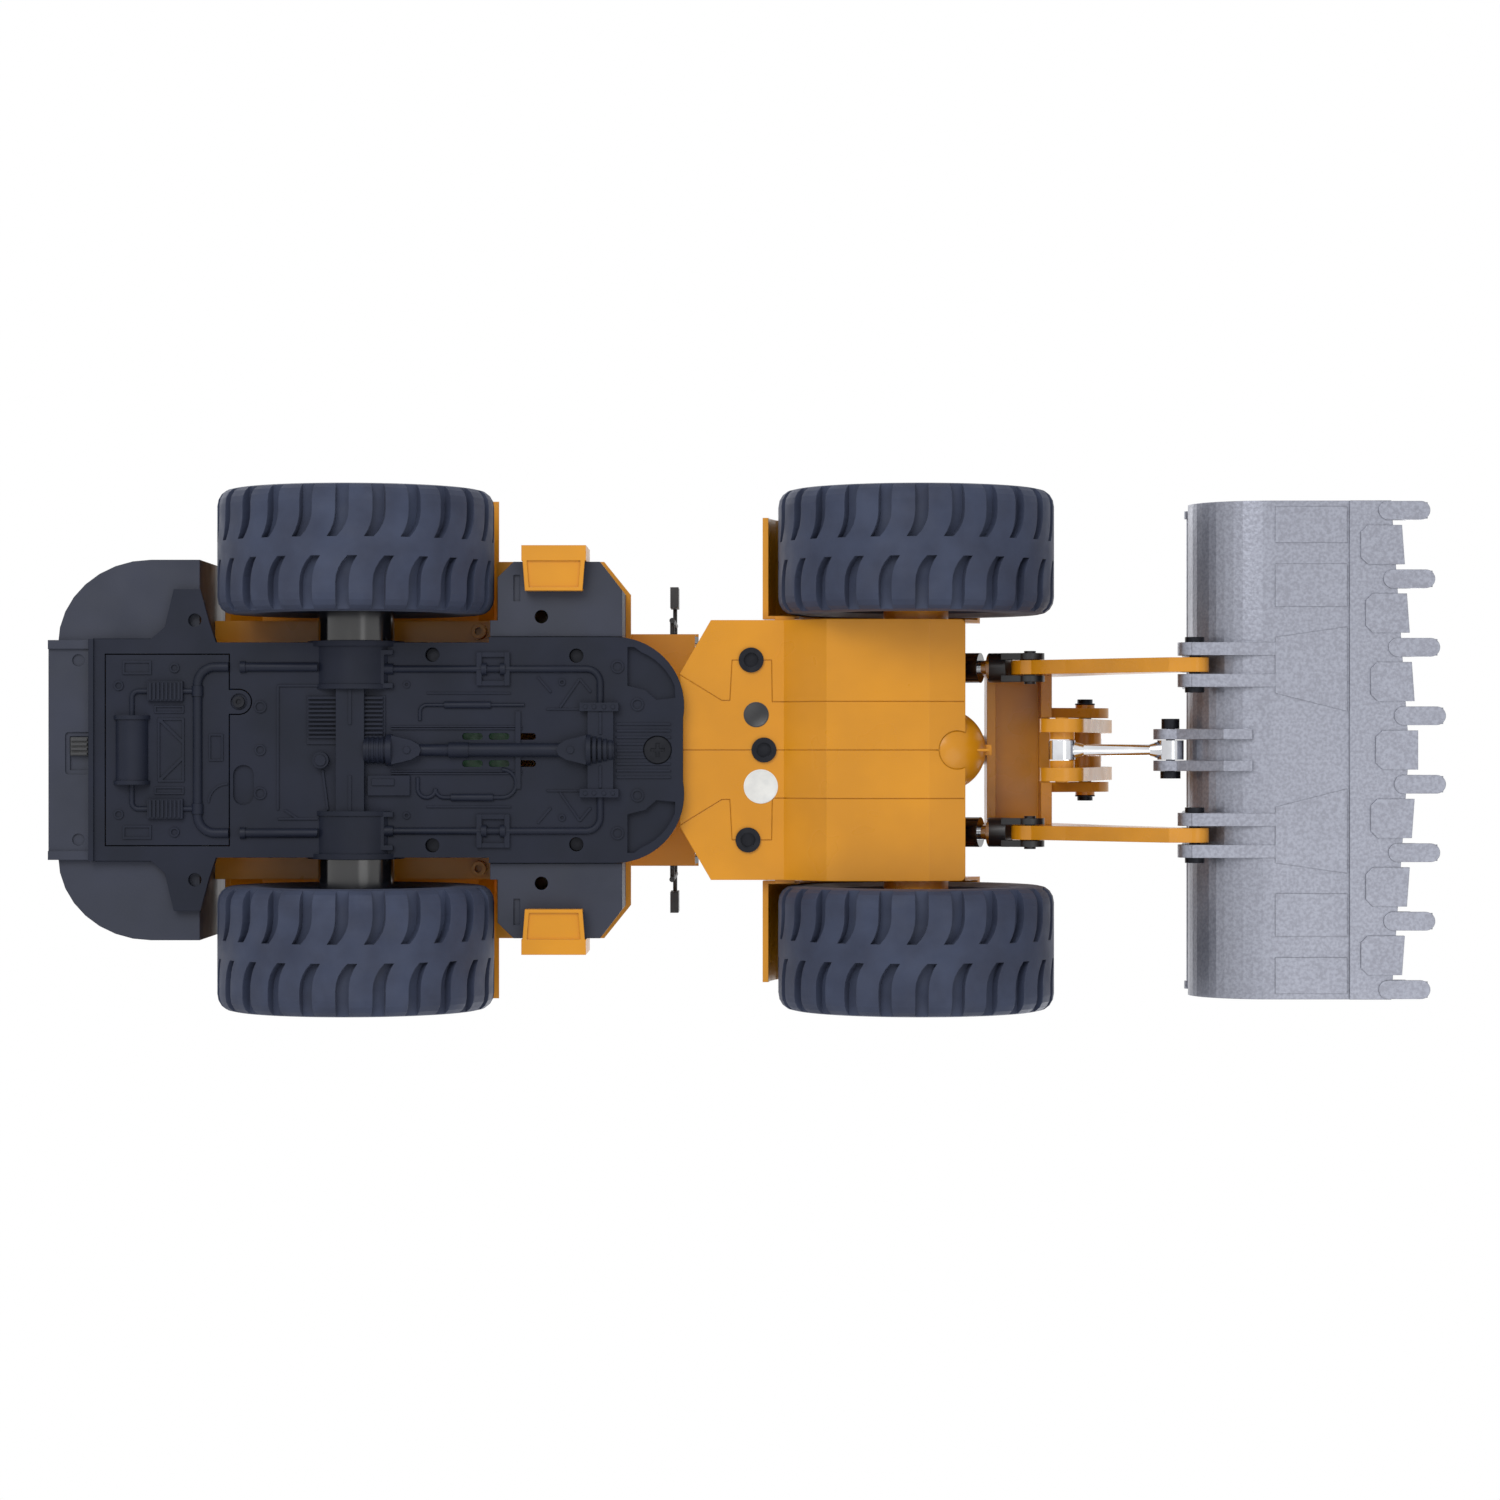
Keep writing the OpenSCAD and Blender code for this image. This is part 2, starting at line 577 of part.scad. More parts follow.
module cover_relief() {
  z = belly_z - 0.4;
  muffler_x = cover_x0 + 11.8;
  rod_y(-15.2, 15.2, muffler_x, belly_z + 1.5, 15);
  both_sides() {
    rod_y(13.8, 15.6, muffler_x, belly_z + 1.5, 16.8);
    cat_x = cover_x0 + 19;
    cat_y = 26.5;
    slab(cat_x, cat_x + 16, cat_y - 4.4, cat_y + 4.4, belly_z - 2.6, belly_z + 1);
    for (i = [0:7]) slab(cat_x + 0.9 + i * 1.85, cat_x + 1.9 + i * 1.85, cat_y - 3.9, cat_y + 3.9, belly_z - 3.4, belly_z - 2);
    rod_x(cat_x + 16, cat_x + 22, cat_y, z, 2.4);
    bend_r = 3;
    rod_x(muffler_x + bend_r, cat_x, cat_y, z, 2.4);
    pipe_bend(muffler_x + bend_r, cat_y - bend_r, z, bend_r, 2.4, 90);
    rod_y(15, cat_y - bend_r, muffler_x, z, 2.4);
    riser_x = cover_x1 - 14;
    riser_d = 4.3;
    riser_r = 8;
    rod_y(0, 37.4 - riser_r, riser_x, z, riser_d);
    pipe_bend(riser_x + riser_r, 37.4 - riser_r, z, riser_r, riser_d, 90);
    rod_x(riser_x + riser_r, cover_x1, 37.4, z, riser_d);
    rod_y(cat_y - 2.3, cat_y + 2.3, riser_x, z, riser_d + 1);
    plate_xy(belly_z - 0.7, belly_z + 1) {
      difference() {
        translate([cover_x0 + 7.6, 34]) square([13, 6.2]);
        translate([cover_x0 + 8.6, 35]) square([11, 4.2]);
      }
      brace_x = cover_x0 + 23.4;
      difference() {
        translate([brace_x, -1]) square([12, 15.4]);
        translate([brace_x + 1, -2]) square([10, 15.4]);
      }
      bar_2d([brace_x + 1, 13.6], [brace_x + 11.4, 3.4], 1.4);
      difference() {
        translate([brace_x - 1.5, 16.6]) square([13.4, 3.4]);
        translate([brace_x - 0.7, 17.4]) square([11.8, 1.8]);
      }
    }
    at_relief_ring(cover_x0 + 5.8, 29, 4.4);
    at_relief_ring(cover_x0 + 31, 37, 4.4);
  }
  plate_xy(belly_z - 0.7, belly_z + 1) {
    difference() {
      translate([cover_x1 - 8.9, -7.2]) square([6.4, 12.2]);
      translate([cover_x1 - 8.1, -6.4]) square([4.8, 10.6]);
    }
    difference() {
      translate([cover_x1 - 0.6, latch_y + 8]) circle(r = 8.8);
      translate([cover_x1 - 0.6, latch_y + 8]) circle(r = 8);
      translate([cover_x1 - 0.4, latch_y - 4]) square([12, 24]);
      translate([cover_x1 - 12, latch_y + 8]) square([24, 12]);
    }
  }
}

module battery_cover() {
  color("#33364a") at_hinge() difference() {
    union() {
      plate_xy(belly_z, belly_z + tray_t) cover_outline(0);
      cover_relief();
      plate_xy(belly_z + tray_t, belly_z + tray_t + 0.9)
        translate([cover_x0 + 4, -cover_half_w + 4]) square([cover_x1 - cover_x0 - 8, 2 * cover_half_w - 8]);
    }
    rod_z(belly_z - 1, belly_z + tray_t + 1, tab_x, tab_y, 3);
    rod_z(belly_z - 1, belly_z + 0.9, tab_x, tab_y, 7.4);
    slab(cover_x0, cover_x1, -cover_half_w, cover_half_w, belly_z + tray_t + 0.9, belly_z + 20);
  }
}

module battery_pack() {
  color("#2c5fa8") at_hinge() {
    z0 = belly_z + tray_t + 1;
    cell_d = 17;
    for (i = [0:2]) for (k = [0, 1])
      rod_y(-battery_half, battery_half, cover_x0 + 13 + i * (cell_d + 0.2), z0 + cell_d / 2 + k * (cell_d + 0.2), cell_d);
    slab(cover_x0 + 6, cover_x0 + 46, -battery_half + 2, battery_half - 2, z0 + 2, z0 + 2 * cell_d - 2);
  }
}

module chassis_screws() {
  color("#1b1c1f") at_hinge() {
    head_z = belly_z + 6;
    both_sides() for (p = tray_holes) {
      rod_z(head_z, head_z + 2.4, p[0], p[1], 2 * screw_hole_r - 0.4);
      rod_z(head_z + 2.4, tray_top_z - 1, p[0], p[1], 3);
    }
    difference() {
      rod_z(belly_z - 1.6, belly_z + 0.8, tab_x, tab_y, 5.2);
      rod_z(belly_z - 2, belly_z - 0.4, tab_x, tab_y, 2.4);
    }
    rod_z(belly_z + 0.8, belly_z + 8, tab_x, tab_y, 2.8);
  }
}

// Plan of the counterweight, drawn in by the given wall
module counterweight_plan(inset) {
  corner = [well_rear_x - 22, 48];
  rx = corner[0] - counterweight_rear_x - inset;
  ry = counterweight_half_w - corner[1] - inset;
  side = arc_points(corner, rx, ry, 90, 180, 8);
  front = well_rear_x - inset;
  polygon(concat(
    [[front, counterweight_half_w - inset]], side,
    [for (i = [8:-1:0]) [side[i][0], -side[i][1]]],
    [[front, -counterweight_half_w + inset]]
  ));
}

module counterweight() {
  wall = 3;
  z0 = belly_z + 5.2;
  color("#2b2d36") at_hinge() difference() {
    union() {
      plate_xy(z0, counterweight_top_z) counterweight_plan(0);
    }
    plate_xy(z0 + wall, counterweight_top_z - wall) counterweight_plan(wall);
    slab(tray_rear_x - 0.2, well_rear_x + 1, -tray_half - 1.7, tray_half + 1.7, z0 - 1, tray_top_z + 0.2);
    slab(tray_rear_x + 6, well_rear_x + 1, -hood_half + 6, hood_half - 6, tray_top_z - 1, counterweight_top_z + 1);
    both_sides() for (i = [0:4])
      slab(counterweight_rear_x - 1, counterweight_rear_x + 1.2, 8, 34, z0 + 40 + i * 7, z0 + 42.5 + i * 7);
  }
}

switch_y = 1.5;
switch_travel = 6;
module rear_bumper() {
  x0 = bumper_rear_x;
  x1 = tray_rear_x - 1.6;
  z0 = belly_z + 3;
  half = 49.6;
  color("#2b2d36") at_hinge() difference() {
    union() {
      slab(x0, x1, -half + 4, half - 4, z0, z0 + 2);
      both_sides() slab(x0 - 0, x1, half - 4, half, z0 - 1.6, z0 + 2);
      slab(counterweight_rear_x - 3.4, counterweight_rear_x - 0.2, -half, half, z0, z0 + 20);
    }
    both_sides() rod_z(z0 - 3, z0 + 1, x0 + 13.5, 40.5, 5.4);
    plate_xy(z0 - 3, z0 + 1) round_rect(x0 + 7.6, x1 + 3, switch_y - 9.5, switch_y + 9.5, 1.5);
    slab(x0 + 9.6, x1 - 0.2, switch_y - 7.6, switch_y + 7.6, z0 - 1, z0 + 3);
  }
}

module power_switch() {
  x0 = bumper_rear_x + 9.9;
  x1 = tray_rear_x - 2.1;
  y0 = switch_y - 7.3;
  knob_l = 14.6 - switch_travel - 0.3;
  z0 = belly_z + 2.4;
  color("#17181b") at_hinge() {
    slab(x0, x1, y0, y0 + knob_l, z0 + 0.8, z0 + 2.4);
    for (i = [0:3]) slab(x0 + 0.3, x1 - 0.3, y0 + 0.6 + i * 2.1, y0 + 1.7 + i * 2.1, z0 - 0.6, z0 + 0.8);
  }
}

module engine_hood() {
  rear = well_rear_x - 40;
  front = -cab_rear_x - 0.3;
  top_rear = hood_top_z - 18;
  wall = 2.4;
  z0 = counterweight_top_z + 0.1;
  side_pts = [[rear + 6, z0], [rear, z0 + 16], [rear + 3, top_rear - 5], [rear + 12, top_rear],
    [front - 40, hood_top_z - 4], [front, hood_top_z], [front, z0]];
  inner_pts = [[rear + 6 + wall, z0 - 1], [rear + wall, z0 + 16], [rear + 3 + wall, top_rear - 5 - wall],
    [rear + 12, top_rear - wall], [front - 40, hood_top_z - 4 - wall], [front - wall, hood_top_z - wall],
    [front - wall, z0 - 1]];
  color("#d48f28") at_hinge() difference() {
    union() {
      plate_xz(-hood_half, hood_half) polygon(side_pts);
      both_sides() slab(well_rear_x + 0.2, front, hood_half - wall, hood_half, deck_z + 0.1, z0 + 1);
      slab(front - wall, front, -hood_half, hood_half, deck_z + 0.1, z0 + 1);
    }
    plate_xz(-hood_half + wall, hood_half - wall) polygon(inner_pts);
    for (i = [0:5]) both_sides()
      slab(front - 50 + i * 6, front - 47 + i * 6, hood_half - 1, hood_half + 1, z0 + 14, z0 + 32);
    both_sides() slab(rear + 18, front - 58, hood_half - 0.8, hood_half + 1, z0 + 10, z0 + 10.8);
    slab(rear + 20, rear + 60, -24, -23.2, top_rear - 1, hood_top_z + 1);
    slab(rear + 20, rear + 60, 23.2, 24, top_rear - 1, hood_top_z + 1);
    rod_z(hood_top_z - 20, hood_top_z + 5, stack_x, stack_y, stack_d - 0.4);
    rod_z(hood_top_z - 20, hood_top_z + 5, stack_x + 2, -stack_y, stack_d - 0.4);
  }
}

stack_x = rear_axle_x + 2;
stack_y = 22;
stack_d = 9;
module exhaust_stack() {
  z0 = hood_top_z - 2;
  color("#202226") at_hinge() {
    difference() {
      union() {
        rod_z(z0 + 0.2, z0 + 30, stack_x, stack_y, stack_d);
        rod_z(z0 + 0.2, z0 + 2.4, stack_x, stack_y, stack_d + 5);
        for (i = [0:3]) rod_z(z0 + 6 + i * 5, z0 + 7.5 + i * 5, stack_x, stack_y, stack_d + 1.6);
      }
      rod_z(z0 + 12, z0 + 31, stack_x, stack_y, stack_d - 2.4);
    }
  }
}

module air_cleaner() {
  z0 = hood_top_z - 2;
  color("#202226") at_hinge() translate([stack_x + 2, -stack_y, z0 + 0.2]) rotate_extrude()
    polygon([[0, 0], [7, 0], [7, 2], [4, 3], [4, 12], [8, 14], [9, 17], [8.4, 21], [4, 24], [0, 24.6]]);
}

module rear_grille() {
  x = well_rear_x - 40;
  z0 = counterweight_top_z + 4;
  color("#202226") at_hinge() {
    difference() {
      slab(x - 2.6, x - 0.2, -34, 34, z0 + 12, z0 + 24);
      for (i = [0:10]) slab(x - 3, x - 1.2, -31.5 + i * 5.8, -28 + i * 5.8, z0 + 14, z0 + 22);
    }
  }
}

module tail_lights() {
  color("#b3261e") at_hinge() both_sides() {
    x = counterweight_rear_x;
    z = counterweight_top_z - 14;
    slab(x - 2.2, x - 0.2, 20, 34, z, z + 7);
    slab(x - 2.8, x - 2.2, 21, 26.5, z + 0.8, z + 6.2);
    slab(x - 2.8, x - 2.2, 27.5, 33, z + 0.8, z + 6.2);
  }
}

// Orange deck: tub between the wheels, wheel-arch flanges, fender tops and cab floor
module body_deck() {
  wall = 2.2;
  z0 = tray_top_z + 0.1;
  inner = tray_half;
  flange_y = tyre_in_y - 1.5;
  box_top = deck_z - 14;
  wing_z = tyre_d + 5;
  wing_x0 = well_rear_x + 3;
  color("#d48f28") at_hinge() difference() {
    union() {
      both_sides() {
        slab(well_rear_x + 0.2, box_front_x, inner - wall, inner, z0, deck_z - deck_t + 1);
        slab(well_rear_x + 0.2, well_front_x, inner - 1, flange_y, box_top, box_top + 2.6);
        slab(well_rear_x + 0.2, well_front_x, flange_y - wall, flange_y, box_top, wing_z + 1);
        plate_xz(flange_y - wall, tyre_out_y - 1) polygon([
          [wing_x0, wing_z - 12], [wing_x0 + 2.6, wing_z - 12], [wing_x0 + 16, wing_z],
          [well_front_x - 10, wing_z], [well_front_x - 2.4, wing_z - 8], [well_front_x, wing_z - 8],
          [well_front_x - 8, wing_z + 2.6], [wing_x0 + 14, wing_z + 2.6]]);
        plate_xy(box_top, box_top + 2.6) polygon([
          [well_front_x, inner - 1], [well_front_x, side_box_w / 2 + 2.4], [box_front_x - 10, side_box_w / 2 + 2.4],
          [box_front_x + 2.4, side_box_w / 2 - 13], [box_front_x + 2.4, inner - 1]]);
        slab(well_front_x, box_front_x + 2.4, inner - 1, cab_half, box_top, deck_z - deck_t + 1);
      }
      slab(box_front_x - wall, box_front_x + 2.4, -inner - 2, inner + 2, z0 + 14, deck_z - deck_t + 1);
      slab(well_rear_x + 0.2, cab_front_x - 1, -cab_half, cab_half, deck_z - deck_t, deck_z);
      for (y = [-1, 1]) rod_z(box_top - 7, box_top + 1, well_front_x - 8, y * (inner + 6.5), 7);
      plate_xy(front_lug_top_z + side_gap, front_lug_top_z + side_gap + 5) union() {
        circle(r = hinge_lug_r);
        translate([box_front_x - 3, -hinge_lug_r]) square([-box_front_x + 3, 2 * hinge_lug_r]);
      }
      slab(box_front_x - wall, box_front_x + 2.4, -hinge_lug_r - 4, hinge_lug_r + 4, z0 + 0.6, z0 + 16);
    }
    rod_z(belly_z, deck_z - deck_t - 1, 0, 0, 2 * hinge_pin_r);
    rod_y(-cab_half, cab_half, rear_axle_x, axle_z, 2 * (axle_beam_r + side_gap));
    for (y = [-1, 1]) rod_z(box_top - 8, box_top - 1, well_front_x - 8, y * (inner + 6.5), 3.4);
    slab(well_rear_x, well_rear_x + 2, -inner + 4, inner - 4, deck_z - deck_t - 20, deck_z + 1);
  }
}

// Cab structure in side view: posts, sills and roof rails
module cab_frame() {
  post = 6;
  z0 = deck_z + 0.1;
  z1 = roof_z - 12;
  sill = z0 + 44;
  front = cab_front_x;
  rear = -cab_rear_x;
  lean = 8;
  color("#24262b") at_hinge() {
    both_sides() difference() {
      plate_xz(cab_half - 3, cab_half) polygon([[rear, z0], [rear, z1], [front - lean, z1], [front, z0 + 40], [front - 4, z0]]);
      plate_xz(cab_half - 4, cab_half + 1) polygon([[rear + post, sill], [rear + post, z1 - post],
        [rear + 38, z1 - post], [rear + 38, sill]]);
      plate_xz(cab_half - 4, cab_half + 1) polygon([[rear + 38 + post, z0 + 12], [rear + 38 + post, z1 - post],
        [front - lean - post, z1 - post], [front - post, z0 + 40], [front - post - 4, z0 + 12]]);
    }
    difference() {
      slab(rear, rear + 3, -cab_half + 3, cab_half - 3, z0, z1);
      slab(rear - 1, rear + 4, -cab_half + 10, cab_half - 10, sill, z1 - post);
    }
    slab(front - 8, front - 4.2, -cab_half + 3, cab_half - 3, z0, z0 + 8);
    slab(front - lean - 5, front - lean, -cab_half + 3, cab_half - 3, z1 - 5, z1);
  }
}

module cab_windows() {
  z0 = deck_z + 0.1;
  z1 = roof_z - 12;
  rear = -cab_rear_x;
  front = cab_front_x;
  lean = 8;
  glass = 1.2;
  sill = z0 + 44;
  color([0.7, 0.8, 0.85, 0.4]) at_hinge() {
    both_sides() {
      plate_xz(cab_half - 4.4, cab_half - 3.1) polygon([[rear + 4, sill - 2], [rear + 4, z1 - 3], [rear + 41, z1 - 3], [rear + 41, sill - 2]]);
      plate_xz(cab_half - 4.4, cab_half - 3.1) polygon([[rear + 42, z0 + 10], [rear + 42, z1 - 3],
        [front - lean - 6, z1 - 3], [front - 4, z0 + 40], [front - 8.4, z0 + 10]]);
    }
    plate_xz(-cab_half + 4.5, cab_half - 4.5) polygon([[front - lean - 1.2, z1 - 5.2], [front - lean + 0, z1 - 5.2],
      [front, z0 + 40], [front - 3.2, z0 + 8.2], [front - 4.4, z0 + 8.2], [front - 1.2, z0 + 40]]);
    slab(rear + 3.1, rear + 3.1 + glass, -cab_half + 6, cab_half - 6, sill - 2, z1 - 4);
  }
}

module cab_roof() {
  z0 = roof_z - 11.9;
  over = 4;
  color("#d48f28") at_hinge() {
    plate_xz(-cab_half - over, cab_half + over) polygon([
      [-cab_rear_x - over, z0], [-cab_rear_x - over, z0 + 7], [-cab_rear_x + 4, roof_z - 1.6], [-60, roof_z],
      [cab_front_x - 20, roof_z], [cab_front_x - 4, z0 + 7], [cab_front_x - 1, z0]]);
  }
}

module operator_seat() {
  z0 = deck_z + 0.1;
  x0 = -84;
  color("#2a2c30") at_hinge() {
    slab(x0 + 6, x0 + 26, -10, 10, z0, z0 + 16);
    plate_xz(-15, 15) union() {
      translate([0, z0 + 16]) round_rect(x0, x0 + 32, 0, 8, 3.5);
      polygon([[x0, z0 + 18], [x0 - 6, z0 + 56], [x0 - 1, z0 + 58], [x0 + 8, z0 + 22]]);
    }
    both_sides() slab(x0 + 4, x0 + 26, 16.2, 20.2, z0 + 30, z0 + 33);
    both_sides() slab(x0 + 8, x0 + 12, 15, 20.2, z0 + 20, z0 + 30);
  }
}

module steering_wheel() {
  z0 = deck_z + 0.1;
  x0 = cab_front_x - 26;
  color("#1b1c1f") at_hinge() {
    slab(x0 - 4, x0 + 8, -7, 7, z0, z0 + 22);
    translate([x0 - 1, 0, z0 + 20]) rotate([0, -28, 0]) {
      cylinder(d = 5, h = 16);
      translate([0, 0, 15]) rotate_extrude() translate([11, 0]) circle(d = 2.8);
      for (a = [0, 120, 240]) rotate([0, 0, a]) translate([0, -1.2, 14.2]) cube([11, 2.4, 1.6]);
    }
  }
}

module cab_lights() {
  z = roof_z - 11;
  color("#e9e4d2") at_hinge() {
    both_sides() {
      for (y = [26, 42]) rod_x(cab_front_x - 0.8, cab_front_x + 4.6, y, z + 4, 9);
      rod_x(-cab_rear_x - 9.5, -cab_rear_x - 4.1, 38, z + 4, 9);
    }
    rod_z(roof_z + 0.1, roof_z + 1.6, -70, 30, 14);
    rod_z(roof_z + 1.6, roof_z + 11, -70, 30, 11);
  }
}

module handrails() {
  rail_d = 2.6;
  cross_d = 2.1;
  y = cab_half + 7;
  x = cab_front_x - 12;
  z0 = deck_z - 12;
  color("#24262b") at_hinge() both_sides() {
    rod_z(deck_z + 12, deck_z + 96, x, y, rail_d);
    for (z = [deck_z + 16, deck_z + 92]) rod_y(cab_half + 0.1, y, x, z, cross_d);
    rod_x(well_front_x + 5, box_front_x - 6, y + 12, deck_z + 38, cross_d);
    for (px = [well_front_x + 5, box_front_x - 6]) {
      rod_z(deck_z - 11.2, deck_z + 40 + rail_d / 2, px, y + 12, rail_d);
    }
    rod_y(y - 0.5, y + 13, x, deck_z + 86, cross_d);
    slab(x - 2, x + 2, y + 8, y + 18, deck_z + 66, deck_z + 92);
  }
}

// Black side box under the cab with its own steps
module side_box() {
  half = side_box_w / 2;
  z0 = belly_z + 3;
  z1 = deck_z - 14.1;
  inner = tray_half + 2.7;
  color("#2b2d36") at_hinge() difference() {
    plate_xy(z0, z1) polygon([
      [well_front_x + 0.4, inner], [well_front_x + 0.4, tyre_in_y - 3], [well_front_x + 3.8, tyre_in_y - 3],
      [well_front_x + 3.8, half - 7], [well_front_x + 11, half], [box_front_x - 10, half], [box_front_x, half - 13], [box_front_x, inner]]);
    plate_xy(z0 + 3, z1 + 1) polygon([
      [well_front_x + 6.2, inner + 2.4], [well_front_x + 6.2, half - 8.2], [well_front_x + 12, half - 2.4],
      [box_front_x - 11.2, half - 2.4], [box_front_x - 2.4, half - 14], [box_front_x - 2.4, inner + 2.4]]);
    rod_z(z0 - 1, z0 + 4, box_front_x - 36.5, inner + 9, 6);
    slab(step_x0 - 4, step_x0 - 1.2, inner + 16, half - 6, z0 - 1, z0 + 1.4);
  }
}

step_x0 = box_front_x - 45;
step_l = 29;
module step() {
  half = side_box_w / 2;
  z0 = belly_z + 2.8;
  color("#d48f28") at_hinge() {
    difference() {
      slab(step_x0, step_x0 + step_l, half + 0.1, half + 7, z0 - 9, z0 + 34);
      slab(step_x0 + 2, step_x0 + step_l - 2, half + 1.6, half + 8, z0 - 6.6, z0 + 12);
      slab(step_x0 + 2, step_x0 + step_l - 2, half + 1.6, half + 8, z0 + 14.4, z0 + 31.6);
    }
    difference() {
      plate_xy(z0 - 9, z0 - 6.6) polygon([[step_x0, half + 7], [step_x0 + 1.6, half - 13.4],
        [step_x0 + step_l - 1.6, half - 13.4], [step_x0 + step_l, half + 7]]);
      plate_xy(z0 - 10, z0 - 7.8) polygon([[step_x0 + 2, half + 5.4], [step_x0 + 3.4, half - 11.8],
        [step_x0 + step_l - 3.4, half - 11.8], [step_x0 + step_l - 2, half + 5.4]]);
    }
    slab(step_x0 + 1.6, step_x0 + step_l - 1.6, half - 13.4, half - 11.8, z0 - 9, z0 + 0.1);
  }
}

module control_board() {
  z0 = belly_z + tray_t + 6;
  x0 = rear_axle_x + 28;
  color("#1f6b3a") at_hinge() {
    slab(x0, x0 + 46, -26, 26, z0, z0 + 1.6);
    for (x = [x0 + 3, x0 + 43], y = [-23, 23]) rod_z(belly_z + tray_t + 0.1, z0, x, y, 4);
    slab(x0 + 6, x0 + 16, -12, 2, z0 + 1.6, z0 + 4.6);
    slab(x0 + 22, x0 + 36, 6, 18, z0 + 1.6, z0 + 5.6);
    slab(x0 + 24, x0 + 34, -20, -6, z0 + 1.6, z0 + 7.6);
  }
}

module drive_motor() {
  x0 = rear_axle_x + axle_beam_r + 0.2;
  color("#8c9096") at_hinge() {
    rod_x(x0 + 4, x0 + 48, 0, tray_top_z + 16, 24);
    slab(x0, x0 + 4, -16, 16, belly_z + tray_t + 2.2, tray_top_z + 30);
    rod_x(x0 + 48, x0 + 51, 0, tray_top_z + 16, 9);
  }
}

module steering_motor() {
  color("#3a3d42") at_hinge() {
    x0 = box_front_x - 30;
    slab(x0, x0 + 22, -10, 10, deck_z - deck_t - 24, deck_z - deck_t - 0.1);
    rod_z(deck_z - deck_t - 29, deck_z - deck_t - 24, x0 + 11, 0, 8);
  }
}

module rear_axle() {
  hub_r = 17.3;
  hub_end = tyre_in_y + 22;
  color("#0d0e10") at_hinge() {
    rod_y(-housing_out_y - 3, housing_out_y + 3, rear_axle_x, axle_z, 2 * axle_beam_r);
    both_sides() {
      rod_y(housing_out_y + 2.4, hub_end, rear_axle_x, axle_z, 2 * hub_r);
      rod_y(hub_end - 1, tyre_out_y - 8, rear_axle_x, axle_z, 2 * spindle_r);
    }
  }
}

module articulation_pin() {
  color("#101113") at_hinge() difference() {
    union() {
      rod_z(belly_z + 0.6, belly_z + 2, 0, 0, 12);
      rod_z(belly_z + 2, front_lug_top_z + 6.5, 0, 0, 2 * (hinge_pin_r - running));
    }
    for (a = [0, 90]) rotate([0, 0, a]) slab(-3.2, 3.2, -0.8, 0.8, belly_z, belly_z + 1.6);
  }
}

// ---------- front frame ----------
cover_rear_x = 10;
cover_rear_half = 34.6;
facet_x0 = 57;
facet_x1 = front_axle_x - 41;
rise_x = front_axle_x + 5;
rise_z = 5;
cover_rim_z = 60;
front_lug_top_z = cover_high_z + cover_t + 3.1;

module cover_profile(raise) {
  polygon([[cover_rear_x, cover_high_z + raise], [facet_x0, cover_high_z + raise], [facet_x1, cover_low_z + raise],
    [rise_x, cover_low_z + raise], [cover_front_x, cover_low_z + rise_z + raise],
    [cover_front_x, cover_rim_z + 20], [cover_rear_x, cover_rim_z + 20]]);
}

module cover_plan(inset) {
  chamfer_x = 24;
  polygon([
    [cover_rear_x, cover_rear_half - inset], [chamfer_x, cover_half - inset],
    [cover_front_x - 1.5 - inset, cover_half - inset], [cover_front_x - inset, cover_half - 1.5 - inset],
    [cover_front_x - inset, -cover_half + 1.5 + inset], [cover_front_x - 1.5 - inset, -cover_half + inset],
    [chamfer_x, -cover_half + inset], [cover_rear_x, -cover_rear_half + inset]]);
}

seam_w = 0.35;
seam_d = 0.5;
module seams() {
  seam_y = 21.8;
  for (y = [-seam_y, 0, seam_y]) plate_xz(y - seam_w / 2, y + seam_w / 2) difference() {
    cover_profile(-1);
    cover_profile(seam_d);
    translate([0, 0]) square([y == 0 ? cover_rear_x + 1 : facet_x0, 100]);
    translate([cover_front_x - 0.6, 0]) square([5, 100]);
  }
  both_sides() plate_xy(cover_high_z - 1, cover_high_z + seam_d) {
    bar_2d([cover_rear_x - 1, cover_rear_half], [29, seam_y + 0.6], seam_w);
    bar_2d([29, seam_y + 0.6], [32.6, seam_y + 0.6], seam_w);
    bar_2d([32.6, seam_y + 0.6], [33.6, 40.7], seam_w);
    bar_2d([33.6, 40.7], [51.5, 40.7], seam_w);
    bar_2d([51.5, 40.7], [51.8, seam_y], seam_w);
    bar_2d([51.8, seam_y], [facet_x0 + 1, seam_y], seam_w);
  }
}

bush_places = [[42.2, -40.7], [48, 0], [40.8, 40.7]];
bush_r = 5.65;
bush_bore_r = 3.3;
diff_c = [front_axle_x + 13, 60];
diff_r = 18.5;
front_tube_r = 11;
front_end_r = 14.7;

module front_cover() {
  color("#d48f28") at_hinge() difference() {
    intersection() {
      plate_xz(-cover_half, cover_half) cover_profile(0);
      plate_xy(cover_low_z - 1, cover_rim_z) cover_plan(0);
    }
    intersection() {
      plate_xz(-cover_half, cover_half) cover_profile(cover_t);
      plate_xy(cover_low_z - 1, cover_rim_z + 30) difference() {
        cover_plan(cover_t);
        square([2 * chamfer_end, 2 * cover_w], center = true);
      }
    }
    slab(cover_rear_x - 1, chamfer_end + 0.1, -cover_half, cover_half, cover_high_z + cover_t, cover_rim_z + 30);
    seams();
    for (p = bush_places) rod_z(cover_high_z - 1, cover_high_z + 5, p[0], p[1], 2 * (bush_r - 0.8));
    rod_y(-cover_half - 1, cover_half + 1, front_axle_x, axle_z, 2 * (front_end_r + side_gap));
    translate([diff_c[0], 0, diff_c[1]]) sphere(r = diff_r + side_gap);
  }
}
chamfer_end = 25;

